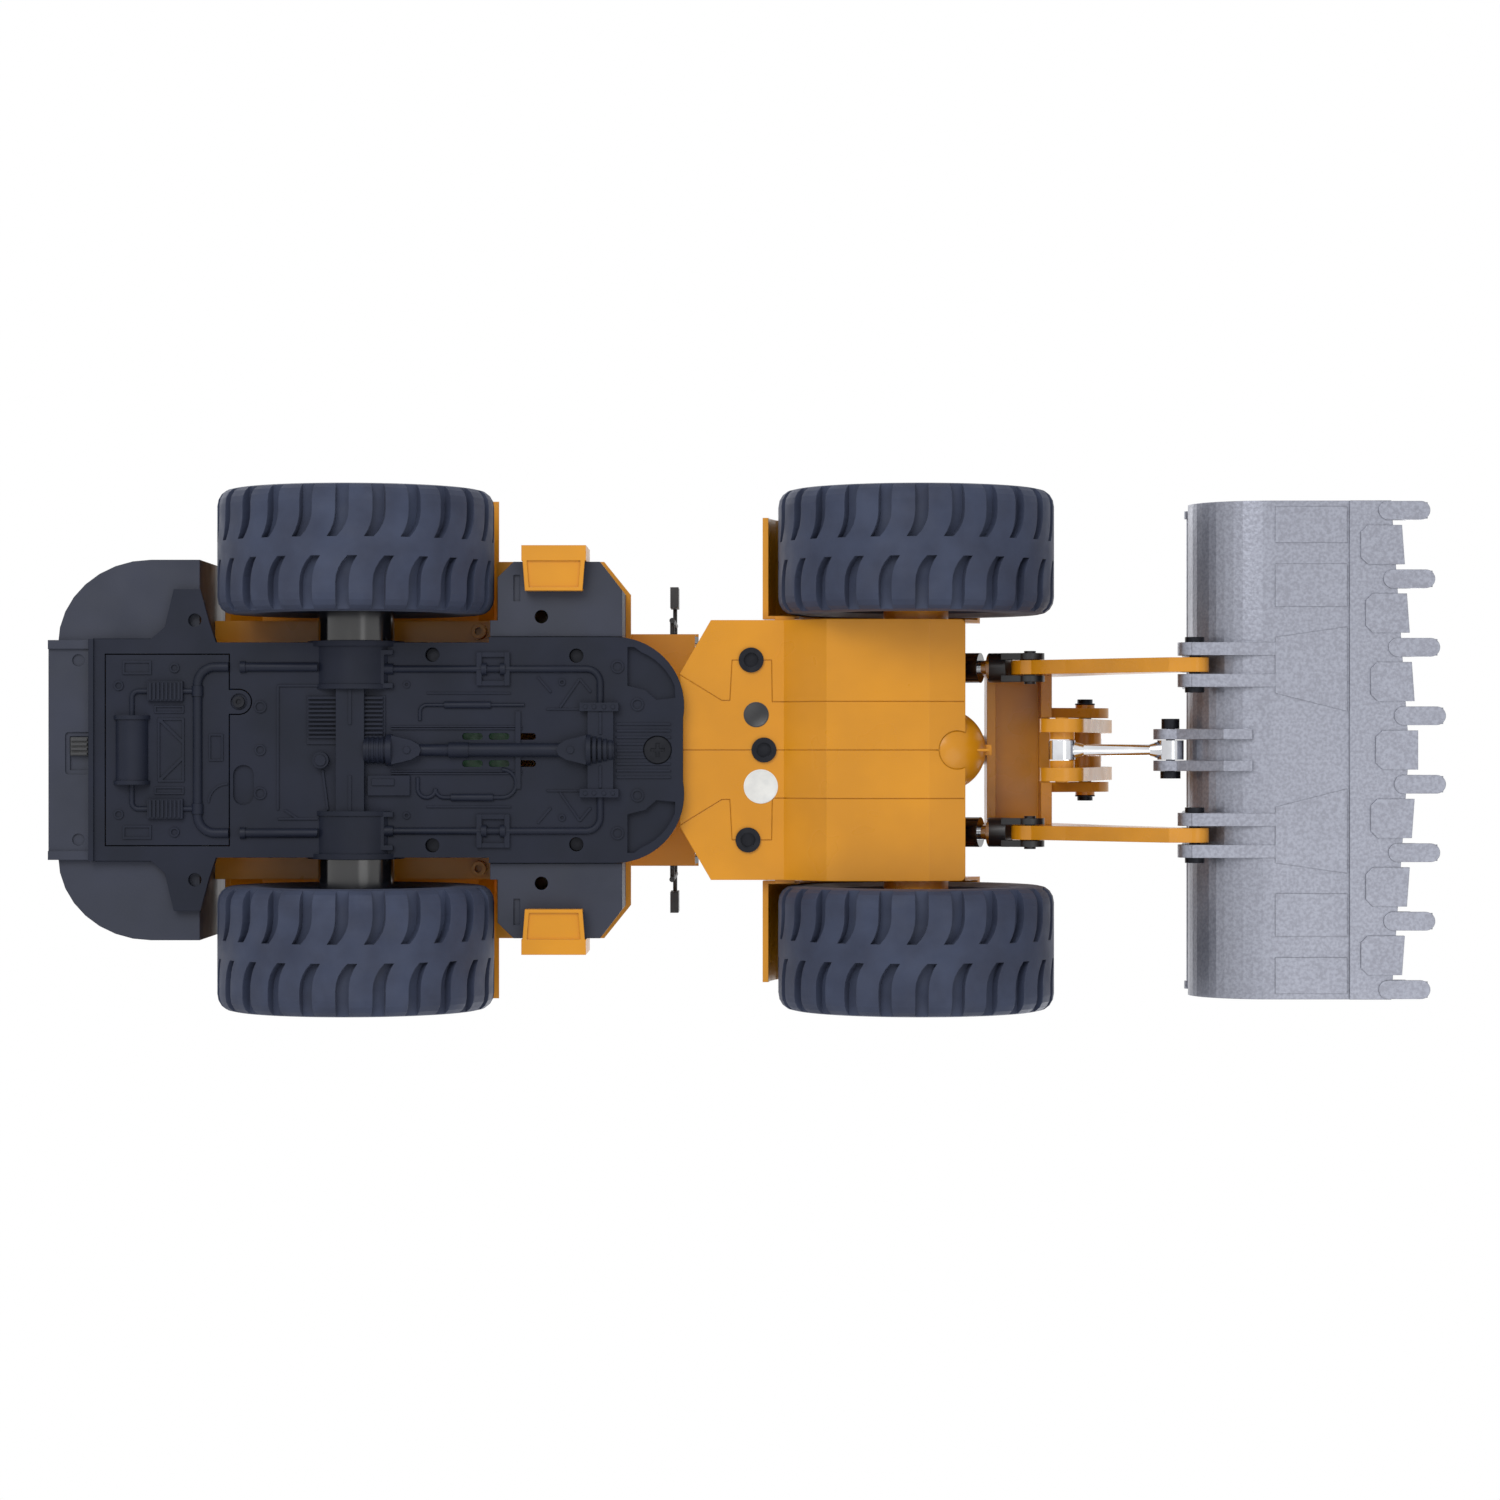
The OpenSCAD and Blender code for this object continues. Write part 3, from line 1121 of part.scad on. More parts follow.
module frame_bushes() {
  color("#1b1c1f") at_hinge() for (p = bush_places) translate([p[0], p[1], 0]) difference() {
    union() {
      rod_z(cover_high_z - 1.2, cover_high_z - 0.1, 0, 0, 2 * bush_r);
      rod_z(cover_high_z - 0.1, cover_high_z + cover_t - 0.2, 0, 0, 2 * (bush_r - 0.9));
    }
    rod_z(cover_high_z - 2, cover_high_z + cover_t - 1, 0, 0, 2 * bush_bore_r);
  }
}

module front_axle() {
  end_y = tyre_in_y + 22;
  color("#c98524") at_hinge() {
    difference() {
      union() {
        rod_y(-end_y, end_y, front_axle_x, axle_z, 2 * front_tube_r);
        both_sides() rod_y(48, end_y, front_axle_x, axle_z, 2 * front_end_r);
        both_sides() rod_y(end_y - 1, tyre_out_y - 8, front_axle_x, axle_z, 2 * spindle_r);
        translate([diff_c[0], 0, diff_c[1]]) sphere(r = diff_r);
        slab(diff_c[0] + 10, diff_c[0] + diff_r + 2.6, -2.4, 2.4, diff_c[1] - 1.6, diff_c[1] + 1.6);
        slab(diff_c[0] + 4, diff_c[0] + diff_r + 0.9, -0.6, 0.6, diff_c[1] - 12, diff_c[1] + 12);
      }
    }
  }
}

// Tower plate in side view, without its bores
module tower_outline() {
  z0 = cover_low_z + cover_t + 0.1;
  polygon([[facet_x0 + 21, z0], [facet_x0 + 3, cover_high_z + cover_t + 0.1], [44, cover_high_z + cover_t + 0.1],
    [46, 90], [A[0] - 11, A[1] - 4], [A[0] - 11, A[1] + 2], [A[0] - 6, A[1] + 9.5], [A[0] + 6, A[1] + 9.5],
    [A[0] + 11, A[1] + 2], [96, 100], [front_axle_x + 14, 84], [front_axle_x + 15, 76], [rise_x - 1, z0]]);
}

module loader_tower() {
  cross_z = 104;
  color("#d48f28") at_hinge() {
    difference() {
      union() {
        both_sides() plate_xz(tower_half - tower_t, tower_half) difference() {
          tower_outline();
          translate([front_axle_x, axle_z]) circle(r = front_tube_r + seat_gap);
        }
        slab(50, 54, -tower_half + 1, tower_half - 1, cover_high_z + cover_t + 3, cross_z);
        slab(80, 84, -tower_half + 1, tower_half - 1, 92, cross_z - 4);
        rod_y(-arm_out_y - 1.2, arm_out_y + 1.2, A[0], A[1], 2 * arm_pin_r);
        both_sides() rod_y(tower_half - 0.5, arm_in_y - side_gap, A[0], A[1], 17);
        both_sides() rod_y(tower_half - 0.5, arm_half + 7, K[0], K[1], 2 * lift_eye_pin_r);
        both_sides() rod_y(arm_half + 6.6, arm_half + 8.4, K[0], K[1], 15);
        // Tongue that carries the hinge bore
        plate_xy(tongue_top_z + side_gap, front_lug_top_z)
          difference() {
            union() {
              circle(r = hinge_lug_r);
              translate([0, -hinge_lug_r]) square([cover_rear_x - 0.4, 2 * hinge_lug_r]);
            }
            circle(r = hinge_pin_r);
            translate([cover_rear_x - 0.4, -cover_half]) square([hinge_lug_r, cover_w]);
          }
        plate_xy(cover_high_z + cover_t + 0.1, front_lug_top_z) difference() {
          union() {
            circle(r = hinge_lug_r);
            translate([0, -hinge_lug_r]) square([52, 2 * hinge_lug_r]);
          }
          circle(r = hinge_pin_r);
        }
      }
    }
  }
}

// Fender strip behind a front wheel with its curved top
module mudguard() {
  x0 = 47;
  y0 = cover_half + 0.6;
  y1 = tyre_out_y - 12;
  r0 = tyre_d / 2 + 4.5;
  outer = r0 + 2.6;
  start = 62;
  color("#d48f28") at_hinge() {
    difference() {
      plate_xz(y0, y1) difference() {
        polygon(concat(arc_points([front_axle_x, axle_z], outer, outer, start, 178, 14),
          [for (i = [14:-1:0]) let (a = start + (178 - start) * i / 14)
            [front_axle_x + r0 * cos(a), axle_z + r0 * sin(a)]]));
      }
      slab(front_axle_x - 20, front_axle_x + 60, y0 - 1, y1 + 1, 0, 60);
    }
    plate_xz(y0, y0 + 1.5) difference() {
      polygon(concat(arc_points([front_axle_x, axle_z], outer, outer, start, 178, 14),
        [for (i = [8:-1:0]) let (a = start + (178 - start) * i / 8)
          [front_axle_x + (r0 - 14) * cos(a), axle_z + (r0 - 14) * sin(a)]]));
    }
    slab(facet_x0 - 4, facet_x0 + 5, cover_half - cover_t - 12, y0 + 1, cover_rim_z + 0.1, cover_rim_z + 6);
  }
}

module headlights() {
  color("#f2efe6") at_hinge() both_sides() {
    x = front_axle_x - 2;
    y = 92;
    z = axle_z + tyre_d / 2 + 7.2;
    rod_z(z, z + 6, x, y, 5);
    slab(x - 5, x + 6, y - 9, y + 9, z + 6, z + 19);
    rod_x(x + 6, x + 7.6, y - 4, z + 12.5, 7);
    rod_x(x + 6, x + 7.6, y + 4, z + 12.5, 7);
  }
}

module front_motor() {
  color("#8c9096") at_hinge() {
    rod_x(60, 92, 0, 80, 22);
    slab(54.2, 60, -14, 14, cover_high_z + cover_t + 0.2, 94);
  }
}

// ---------- loader linkage ----------
arm_top = [[A[0] + 3, A[1] + 10], [A[0] + 50, A[1] + 12], [A[0] + 86, A[1] + 6], [C[0] - 15, C[1] + 12],
  [C[0] + 4, C[1] - 38], [B[0] - 6.5, B[1] + 13], [B[0] + 3, B[1] + 4]];
arm_low = [[B[0] + 0.5, B[1] - 6], [B[0] - 12, B[1] - 6], [B[0] - 22, B[1] + 3.4], [C[0] - 15, P[1] - 21],
  [P[0] - 3, P[1] - 6], [P[0] - 4, P[1] + 16], [P[0] - 26, P[1] + 44], [A[0] + 40, A[1] - 18], [A[0] + 3, A[1] - 10]];

module lift_arm() {
  color("#d48f28") at_hinge() difference() {
    union() {
      plate_xz(arm_in_y, arm_out_y) polygon(concat(arm_top, arm_low));
      rod_y(arm_in_y, arm_out_y, A[0], A[1], 22.4);
      rod_y(arm_in_y, arm_out_y, B[0], B[1], 12.6);
      rod_y(arm_in_y, arm_out_y, P[0], P[1], 17);
    }
    rod_y(arm_in_y - 1, arm_out_y + 1, A[0], A[1], 2 * (arm_pin_r + running));
    rod_y(arm_in_y - 1, arm_out_y + 1, B[0], B[1], 2 * (bucket_pin_r + running));
    rod_y(arm_in_y - 1, arm_out_y + 1, P[0], P[1], 2 * (lift_pin_r + running));
  }
}

beam_x0 = P[0] - 18;
beam_x1 = P[0] + 12;
beam_z0 = P[1] + 26;
beam_z1 = P[1] + 46;
module arm_beam() {
  beam_t = 4;
  color("#c07c1e") at_hinge() {
    difference() {
      union() {
        slab(beam_x0, beam_x1, -arm_in_y, arm_in_y, beam_z1 - beam_t, beam_z1);
        slab(beam_x0, beam_x0 + beam_t, -arm_in_y, arm_in_y, beam_z0, beam_z1);
        slab(beam_x1 - beam_t - 1, beam_x1, -arm_in_y, arm_in_y, beam_z0, beam_z1);
        both_sides() {
          plate_xz(bracket_in_y, bracket_in_y + bracket_t) union() {
            polygon([[beam_x1 - 1, beam_z0 + 4], [beam_x1 - 1, beam_z1], [C[0] - 9, C[1] + 9], [C[0] + 3, C[1] - 10.4]]);
            at_point(C) circle(r = 11);
          }
          rod_y(bracket_in_y + bracket_t - 0.2, bracket_in_y + bracket_t + 1.6, C[0], C[1], 9);
        }
      }
      slab(beam_x1 - beam_t - 2, beam_x1 + 1, -bracket_in_y, bracket_in_y, beam_z0 - 1, beam_z1 - 8);
    }
    rod_y(-bracket_in_y - 1, bracket_in_y + 1, C[0], C[1], 2 * crank_pin_r);
  }
}

module crank_outline() {
  polygon([[D[0] - 9.8, D[1] + 2], [C[0] - 12, C[1]], [F[0] - 8, F[1] + 1], [F[0] + 8, F[1] - 1],
    [C[0] + 12.4, C[1] - 2], [D[0] + 9.6, D[1] - 2]]);
  at_point(D) circle(r = 9.9);
  at_point(C) circle(r = 12.2);
  at_point(F) circle(r = 8);
}

module bell_crank() {
  boss_r = 5.6;
  color("#d48f28") at_hinge() {
    difference() {
      union() {
        both_sides() plate_xz(crank_in_y, crank_out_y) crank_outline();
        rod_y(-crank_in_y - 0.5, crank_in_y + 0.5, C[0], C[1], 15);
        both_sides() rod_y(centre_lug_in_y, crank_in_y + 0.5, D[0], D[1], 2 * boss_r);
      }
      rod_y(-crank_out_y - 1, crank_out_y + 1, C[0], C[1], 2 * (crank_pin_r + running));
    }
    rod_y(-crank_in_y - 0.5, crank_in_y + 0.5, F[0], F[1], 2 * lift_pin_r);
    both_sides() rod_y(crank_out_y - 0.2, crank_out_y + 0.9 - side_gap, D[0], D[1], 6);
  }
}

module tilt_link() {
  eye_r = 5.9;
  rod_d = 5.2;
  slope = atan2(E[1] - D[1], E[0] - D[0]);
  color("#d8dade") at_hinge() difference() {
    union() {
      rod_y(-link_half, link_half, E[0], E[1], 2 * eye_r);
      rod_y(-link_half, link_half, D[0], D[1], 2 * eye_r);
      translate([D[0], 0, D[1]]) rotate([0, 90 - slope, 0]) {
        translate([0, 0, 3]) cylinder(d = rod_d, h = norm(E - D) - 6);
        translate([0, 0, 4.5]) cylinder(d1 = 8.2, d2 = rod_d, h = 5);
        translate([0, 0, norm(E - D) - 9.5]) cylinder(d1 = rod_d, d2 = 8.2, h = 5);
      }
    }
    rod_y(-link_half - 1, link_half + 1, E[0], E[1], 2 * (link_pin_r + running));
    rod_y(-link_half - 1, link_half + 1, D[0], D[1], 2 * link_pin_r);
  }
}

// Draw along a cylinder: the local x axis runs from base to pin
module along(base, slope, y) {
  translate([base[0], y, base[1]]) rotate([0, -slope, 0]) children();
}

gland_end = lift_len - 23.3;
lift_eye_bore_r = 6;
lift_eye_pin_r = 1.8;
module lift_barrel(y) {
  bore_r = lift_rod_d / 2 + running;
  color("#17181b") at_hinge() along(K, lift_tilt, y) difference() {
    union() {
      rod_x(lift_eye_bore_r + 0.5, gland_end - 9, 0, 0, lift_barrel_d - 1);
      rod_x(gland_end - 9, gland_end, 0, 0, lift_barrel_d);
      rod_y(-6, 6, 0, 0, 2 * lift_eye_bore_r + 6);
    }
    rod_y(-7, 7, 0, 0, 2 * lift_eye_bore_r);
    rod_x(12, gland_end + 1, 0, 0, 2 * bore_r);
  }
}

module lift_rod(y) {
  fork_in = arm_t / 2 + side_gap;
  fork_t = 2.9;
  fork_r = 6.6;
  color("#17181b") at_hinge() along(K, lift_tilt, y) {
    rod_x(14, lift_len - 15, 0, 0, lift_rod_d);
    rod_x(lift_len - 19.1, lift_len - 9.8, 0, 0, 13.4);
    for (s = [-1, 1]) {
      translate([0, s * (fork_in + fork_t / 2), 0]) {
        rod_y(-fork_t / 2, fork_t / 2, lift_len, 0, 2 * fork_r);
        slab(lift_len - 12, lift_len, -fork_t / 2, fork_t / 2, -fork_r + 0.6, fork_r - 0.6);
        rod_y(-fork_t / 2 - (s < 0 ? 1 : 0), fork_t / 2 + (s > 0 ? 1 : 0), lift_len, 0, 5.4);
      }
    }
    rod_y(-fork_in - 1, fork_in + 1, lift_len, 0, 2 * lift_pin_r);
  }
}

tilt_gland = tilt_len - 46;
module tilt_barrel() {
  base_r = 8;
  free_pin_gap = 0.7;
  color("#17181b") at_hinge() along(A, tilt_slope, 0) difference() {
    union() {
      rod_y(-6, 6, 0, 0, 2 * base_r);
      rod_x(4, tilt_gland - 9, 0, 0, tilt_barrel_d - 1);
      rod_x(tilt_gland - 9, tilt_gland, 0, 0, tilt_barrel_d);
    }
    rod_y(-7, 7, 0, 0, 2 * (arm_pin_r + free_pin_gap));
    rod_x(24, tilt_gland + 1, 0, 0, tilt_rod_d + 2 * running);
  }
}

module tilt_rod() {
  eye_r = 6.4;
  color("#d8dade") at_hinge() along(A, tilt_slope, 0) difference() {
    union() {
      rod_x(tilt_gland - 38, tilt_len - 3, 0, 0, tilt_rod_d);
      rod_x(tilt_len - 12, tilt_len - 4, 0, 0, 10);
      rod_y(-5.4, 5.4, tilt_len, 0, 2 * eye_r);
    }
    rod_y(-7, 7, tilt_len, 0, 2 * (lift_pin_r + running));
  }
}

// ---------- bucket ----------
// Outline of the back and floor in side view, drawn in by the given wall
module bucket_back(inset) {
  r = bucket_back_r - inset;
  polygon(concat(
    [[nose_x - 20, back_c[1] - r]],
    arc_points(back_c, r, r, 270, 180, 12),
    [[lip[0] + inset, lip[1]], [lip[0] + 60, lip[1]], [nose_x - 20, lip[1]]]
  ));
}

module side_plate_outline() {
  polygon(concat(
    [[edge_step_x + 13, floor_z + 1.6]],
    arc_points(back_c, bucket_back_r, bucket_back_r, 270, 180, 12),
    [[lip[0], lip[1]], [lip[0] + 14, lip[1] - 1], [lip[0] + 36, lip[1] - 26], [edge_step_x + 2, floor_z + 30],
      [edge_step_x + 13, floor_z + 6]]
  ));
}

// Plan of the cutting plate: straight sides and a shallow spade nose
module edge_plan() {
  half = bucket_half;
  polygon([[edge_step_x, -half], [nose_x - edge_slope * half, -half], [nose_x, 0],
    [nose_x - edge_slope * half, half], [edge_step_x, half]]);
}

module bucket_lug_outline(c, r, run) {
  union() {
    at_point(c) circle(r = r);
    polygon([[c[0] - 2, floor_z + 0.9], [c[0] + run, floor_z + 0.9], [c[0] + run + 6, floor_z + 2.4],
      [c[0] + run, floor_z + 6], [back_c[0] - 8, back_c[1]], [bucket_pin_x + 2, back_c[1] + 38], [c[0] - 5, c[1] + 6]]);
  }
}

module bucket_shell() {
  inner_z = back_c[1] - bucket_back_r;
  pad_t = 0.7;
  color("#5a5f6b") at_hinge() {
    difference() {
      union() {
        difference() {
          plate_xz(-bucket_half, bucket_half) bucket_back(0);
          plate_xz(-bucket_half - 1, bucket_half + 1) bucket_back(bucket_t);
          slab(edge_step_x + 5, nose_x + 50, -bucket_half - 1, bucket_half + 1, 0, bucket_h + 20);
        }
        both_sides() plate_xz(bucket_half - bucket_t, bucket_half) side_plate_outline();
        plate_xy(floor_z, floor_z + 3.6) edge_plan();
        rod_y(-bucket_half - 0.6, bucket_half + 0.6, lip[0] + 1.2, lip[1], 4.4);
        both_sides() rod_y(bucket_half - 3, bucket_half + 0.6, lip[0] + 1.2, lip[1], 6.4);
        both_sides() {
          pad_x0 = back_c[0] + 1;
          for (p = [[91, 106.8], [63, 81.7]])
            slab(pad_x0, edge_step_x - 1, p[0], p[1], inner_z - pad_t, inner_z + 1);
          plate_xy(inner_z - pad_t, inner_z + 1) polygon([[pad_x0, 25], [pad_x0, 49.5], [edge_step_x - 1, 54], [edge_step_x - 1, 17]]);
          for (s = [-1, 1]) {
            y = side_lug_y + s * (side_lug_gap + side_lug_t / 2);
            plate_xz(y - side_lug_t / 2, y + side_lug_t / 2) difference() {
              bucket_lug_outline(B, 7.5, 43);
              bucket_back(bucket_t - 0.5);
            }
          }
          plate_xz(centre_lug_in_y, centre_lug_in_y + centre_lug_t) difference() {
            union() {
              at_point(E) circle(r = 7.6);
              polygon([[E[0] + 2, E[1] - 7.4], [bucket_pin_x + 12, floor_z + 2.2], [back_c[0] - 9, floor_z + 0.9],
                [back_c[0] - 9, back_c[1]], [bucket_pin_x + 4, back_c[1] + 28], [E[0] - 3, E[1] + 6.8]]);
            }
            bucket_back(bucket_t - 0.5);
          }
        }
      }
      both_sides() {
        rod_y(arm_half - 20, arm_half + 20, B[0], B[1], 2 * (bucket_pin_r + seat_gap));
      }
      rod_y(-20, 20, E[0], E[1], 2 * (link_pin_r + seat_gap));
    }
  }
}

tooth_places = [for (i = [0:7]) (i - 3.5) * tooth_pitch];
function tooth_tip(y) = tooth_tip_x - (abs(y) < tooth_pitch ? 0 : edge_slope * (abs(y) - tooth_pitch / 2) + 0.4);

module bucket_teeth() {
  color("#4a4e59") at_hinge() for (y = tooth_places) {
    tip = tooth_tip(y);
    half = tooth_w / 2;
    root = tip - tooth_l;
    difference() {
      union() {
        plate_xy(floor_z - 0.9 + 0, floor_z - 0.1) translate([0, y]) union() {
          translate([root + half, 0]) circle(r = half);
          translate([root + half, -half]) square([tooth_l * 0.52 - half, tooth_w]);
        }
        plate_xz(y - half + 0.5, y + half - 0.5) polygon([[nose_x - edge_slope * abs(y) + 0.7, floor_z - 0.9],
          [tip - half, floor_z - 0.9], [tip - 1, floor_z + 0.2], [tip - 2, floor_z + 1.6],
          [nose_x - edge_slope * abs(y) + 0.7, floor_z + 4.6]]);
        plate_xy(floor_z + 3.7, floor_z + 5.6) translate([0, y]) union() {
          translate([root + half + 3, 0]) circle(r = half);
          translate([root + half + 3, -half]) square([tooth_l * 0.42 - half, tooth_w]);
        }
        plate_xy(floor_z - 0.9, floor_z + 1.9) translate([0, y]) union() {
          translate([tip - half, 0]) circle(r = half);
          translate([nose_x - edge_slope * abs(y) + 4.6, -half]) square([tip - half - nose_x + edge_slope * abs(y) - 4.6, tooth_w]);
        }
      }
    }
  }
}

segment_w = 17.2;
module edge_segments() {
  color("#4a4e59") at_hinge() for (i = [0:6]) {
    y = (i - 3) * tooth_pitch;
    front = nose_x - edge_slope * abs(y) + 3.8;
    skew = y == 0 ? 0 : (y > 0 ? -1 : 1) * edge_slope * segment_w / 2;
    half = segment_w / 2;
    plate_xy(floor_z - 1.0, floor_z - 0.1) union() {
      polygon([[front - 18.6, y - half + 3], [front - 15.6, y - half], [front - skew, y - half],
        [front + skew, y + half], [front - 15.6, y + half], [front - 18.6, y + half - 3]]);
    }
    plate_xy(floor_z - 1.0, floor_z + 3) polygon([[front - 3.4 - skew, y - half], [front - skew, y - half],
      [front + skew, y + half], [front - 3.4 + skew, y + half]]);
  }
}

module bucket_pins() {
  reach = side_lug_gap + side_lug_t;
  color("#101113") at_hinge() {
    both_sides() {
      rod_y(arm_half - reach - 0.1, arm_half + reach + 0.1, B[0], B[1], 2 * bucket_pin_r);
      rod_y(arm_half - reach - 2.4, arm_half - reach - 0.1, B[0], B[1], 8.6);
      rod_y(arm_half + reach + 0.1, arm_half + reach + 2.4, B[0], B[1], 8.6);
    }
    end = centre_lug_in_y + centre_lug_t;
    rod_y(-end - 0.1, end + 0.1, E[0], E[1], 2 * link_pin_r);
    rod_y(-end - 4.6, -end - 0.1, E[0], E[1], 8);
    rod_y(end + 0.1, end + 3.4, E[0], E[1], 9);
  }
}

chassis_tray();
counterweight();
rear_bumper();
battery_cover();
battery_pack();
chassis_screws();
engine_hood();
rear_grille();
tail_lights();
exhaust_stack();
air_cleaner();
body_deck();
cab_frame();
cab_windows();
cab_roof();
operator_seat();
steering_wheel();
cab_lights();
handrails();
side_box();  // side_box_left
mirror([0, 1, 0]) side_box();  // side_box_right
step();  // step_left
mirror([0, 1, 0]) step();  // step_right
control_board();
drive_motor();
steering_motor();
rear_axle();
articulation_pin();
power_switch();
color("#3f4154") at_hinge() tyre(rear_axle_x, track / 2);  // tyre_rear_left
color("#3f4154") at_hinge() tyre(rear_axle_x, -track / 2);  // tyre_rear_right
color("#3f4154") at_hinge() tyre(front_axle_x, track / 2);  // tyre_front_left
color("#3f4154") at_hinge() tyre(front_axle_x, -track / 2);  // tyre_front_right
color("#d48f28") at_hinge() rim(rear_axle_x, track / 2, 1);  // rim_rear_left
color("#d48f28") at_hinge() rim(rear_axle_x, -track / 2, -1);  // rim_rear_right
color("#d48f28") at_hinge() rim(front_axle_x, track / 2, 1);  // rim_front_left
color("#d48f28") at_hinge() rim(front_axle_x, -track / 2, -1);  // rim_front_right
front_cover();
loader_tower();
front_axle();
frame_bushes();
mudguard();  // mudguard_left
mirror([0, 1, 0]) mudguard();  // mudguard_right
headlights();
front_motor();
lift_arm();  // lift_arm_left
mirror([0, 1, 0]) lift_arm();  // lift_arm_right
arm_beam();
lift_barrel(arm_half);  // lift_barrel_left
lift_barrel(-arm_half);  // lift_barrel_right
lift_rod(arm_half);  // lift_rod_left
lift_rod(-arm_half);  // lift_rod_right
bell_crank();
tilt_link();
tilt_barrel();
tilt_rod();
bucket_shell();
bucket_teeth();
edge_segments();
bucket_pins();
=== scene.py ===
import math

import bpy
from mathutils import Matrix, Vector


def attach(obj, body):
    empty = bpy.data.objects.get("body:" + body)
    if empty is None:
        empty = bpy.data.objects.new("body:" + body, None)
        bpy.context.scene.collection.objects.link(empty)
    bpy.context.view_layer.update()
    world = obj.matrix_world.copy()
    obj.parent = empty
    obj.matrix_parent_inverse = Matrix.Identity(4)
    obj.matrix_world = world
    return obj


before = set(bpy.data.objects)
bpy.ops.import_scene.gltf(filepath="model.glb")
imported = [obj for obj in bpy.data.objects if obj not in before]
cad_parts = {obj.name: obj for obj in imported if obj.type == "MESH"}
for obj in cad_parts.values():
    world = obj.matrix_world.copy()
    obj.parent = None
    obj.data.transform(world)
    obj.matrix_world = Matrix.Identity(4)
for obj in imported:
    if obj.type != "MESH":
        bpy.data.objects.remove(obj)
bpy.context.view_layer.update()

bl_info = {
    "name": "Toy Front Loader Dresser",
    "version": (1, 0, 0),
    "blender": (4, 5, 0),
    "location": "3D Viewport > Sidebar > Loader",
    "description": "Finishes and fits out a toy front loader around its packed frame",
    "category": "Object",
}

MM = 0.001
# Where the black eye of a lift rod begins along the machine, in mm
EYE_START = 114.5
# Centres of the two discs on the cover, in m
BLACK_DISC_AT = (0.00875, -0.016, 0.057)
WHITE_DISC_AT = (0.01085, 0.0165, 0.057)
# Pivots of the arms, of the lift rods on the arms and of the crank, as x and z in m
ARM_PIVOT = (0.02625, 0.146)
ROD_PIVOT = (0.13325, 0.066)
CRANK_PIVOT = (0.16275, 0.118)

# Which finish each frame node takes
FINISH_OF_NODE = {
    "body_orange": (
        "engine_hood", "body_deck", "cab_roof", "step_left", "step_right", "front_cover",
        "front_axle", "mudguard_left", "mudguard_right",
    ),
    "loader_orange": ("loader_tower", "lift_arm_left", "lift_arm_right", "arm_beam", "bell_crank"),
    "rim_orange": ("rim_rear_left", "rim_rear_right", "rim_front_left", "rim_front_right"),
    "tray_abs": ("chassis_tray", "battery_cover"),
    "shell_abs": ("counterweight", "rear_bumper", "side_box_left", "side_box_right"),
    "tyre_rubber": ("tyre_rear_left", "tyre_rear_right", "tyre_front_left", "tyre_front_right"),
    "bucket_enamel": ("bucket_shell", "bucket_teeth", "edge_segments"),
    "chrome_steel": ("tilt_link", "tilt_rod"),
    "rod_and_eye": ("lift_rod_left", "lift_rod_right"),
    "gloss_black": ("rear_axle", "lift_barrel_left", "lift_barrel_right", "tilt_barrel"),
    "oxide_steel": ("chassis_screws", "bucket_pins", "articulation_pin", "frame_bushes"),
    "satin_black": (
        "rear_grille", "exhaust_stack", "air_cleaner", "cab_frame", "handrails", "power_switch",
        "steering_wheel", "operator_seat",
    ),
    "red_lens": ("tail_lights",),
    "clear_lens": ("cab_lights", "headlights"),
    "window_pane": ("cab_windows",),
    "battery_sleeve": ("battery_pack",),
    "board_lacquer": ("control_board",),
    "motor_can": ("drive_motor", "front_motor"),
    "servo_case": ("steering_motor",),
}


# ---------------------------------------------------------------- settings

class LoaderColours(bpy.types.PropertyGroup):
    orange: bpy.props.StringProperty(
        name="Body orange", description="Hex colour of the orange body shell", default="D48D10")
    tray: bpy.props.StringProperty(
        name="Tray", description="Hex colour of the moulded chassis tray", default="1C202D")
    shell: bpy.props.StringProperty(
        name="Shell", description="Hex colour of the counterweight and boxes", default="232838")
    tyre: bpy.props.StringProperty(
        name="Tyres", description="Hex colour of the tyre rubber", default="353C51")
    bucket: bpy.props.StringProperty(
        name="Bucket", description="Hex colour of the hammered bucket enamel", default="8B8E99")


class LoaderFittings(bpy.types.PropertyGroup):
    black_disc: bpy.props.FloatProperty(
        name="Black disc", description="Radius of the small black disc on the cover", default=5.7 * MM,
        unit="LENGTH")
    white_disc: bpy.props.FloatProperty(
        name="White disc", description="Radius of the white disc on the cover", default=7.75 * MM,
        unit="LENGTH")
    film: bpy.props.FloatProperty(
        name="Film", description="Thickness of the discs", default=0.3 * MM, unit="LENGTH")
    head: bpy.props.FloatProperty(
        name="Pin head", description="Radius of the pivot pin heads", default=3.6 * MM, unit="LENGTH")
    head_height: bpy.props.FloatProperty(
        name="Pin head height", description="How far the pin heads stand out", default=2.4 * MM,
        unit="LENGTH")


class LoaderStage(bpy.types.PropertyGroup):
    lens: bpy.props.FloatProperty(
        name="Lens", description="Focal length on a 36 mm sensor", default=93.2, unit="CAMERA")
    distance: bpy.props.FloatProperty(
        name="Distance", description="How far the camera stands below the ground plane",
        default=1.7, unit="LENGTH")
    aim: bpy.props.FloatProperty(
        name="Aim", description="Where along the machine the camera points", default=0.00595, unit="LENGTH")
    floor: bpy.props.FloatProperty(
        name="Floor size", description="Width of the studio floor", default=6.0, unit="LENGTH")
    sky: bpy.props.FloatProperty(
        name="Fill", description="Strength of the even studio fill light", default=0.62, min=0.0)
    key: bpy.props.FloatProperty(
        name="Key", description="Power of the large soft key lamps", default=14.0, unit="POWER")


# ---------------------------------------------------------------- nodes and colour

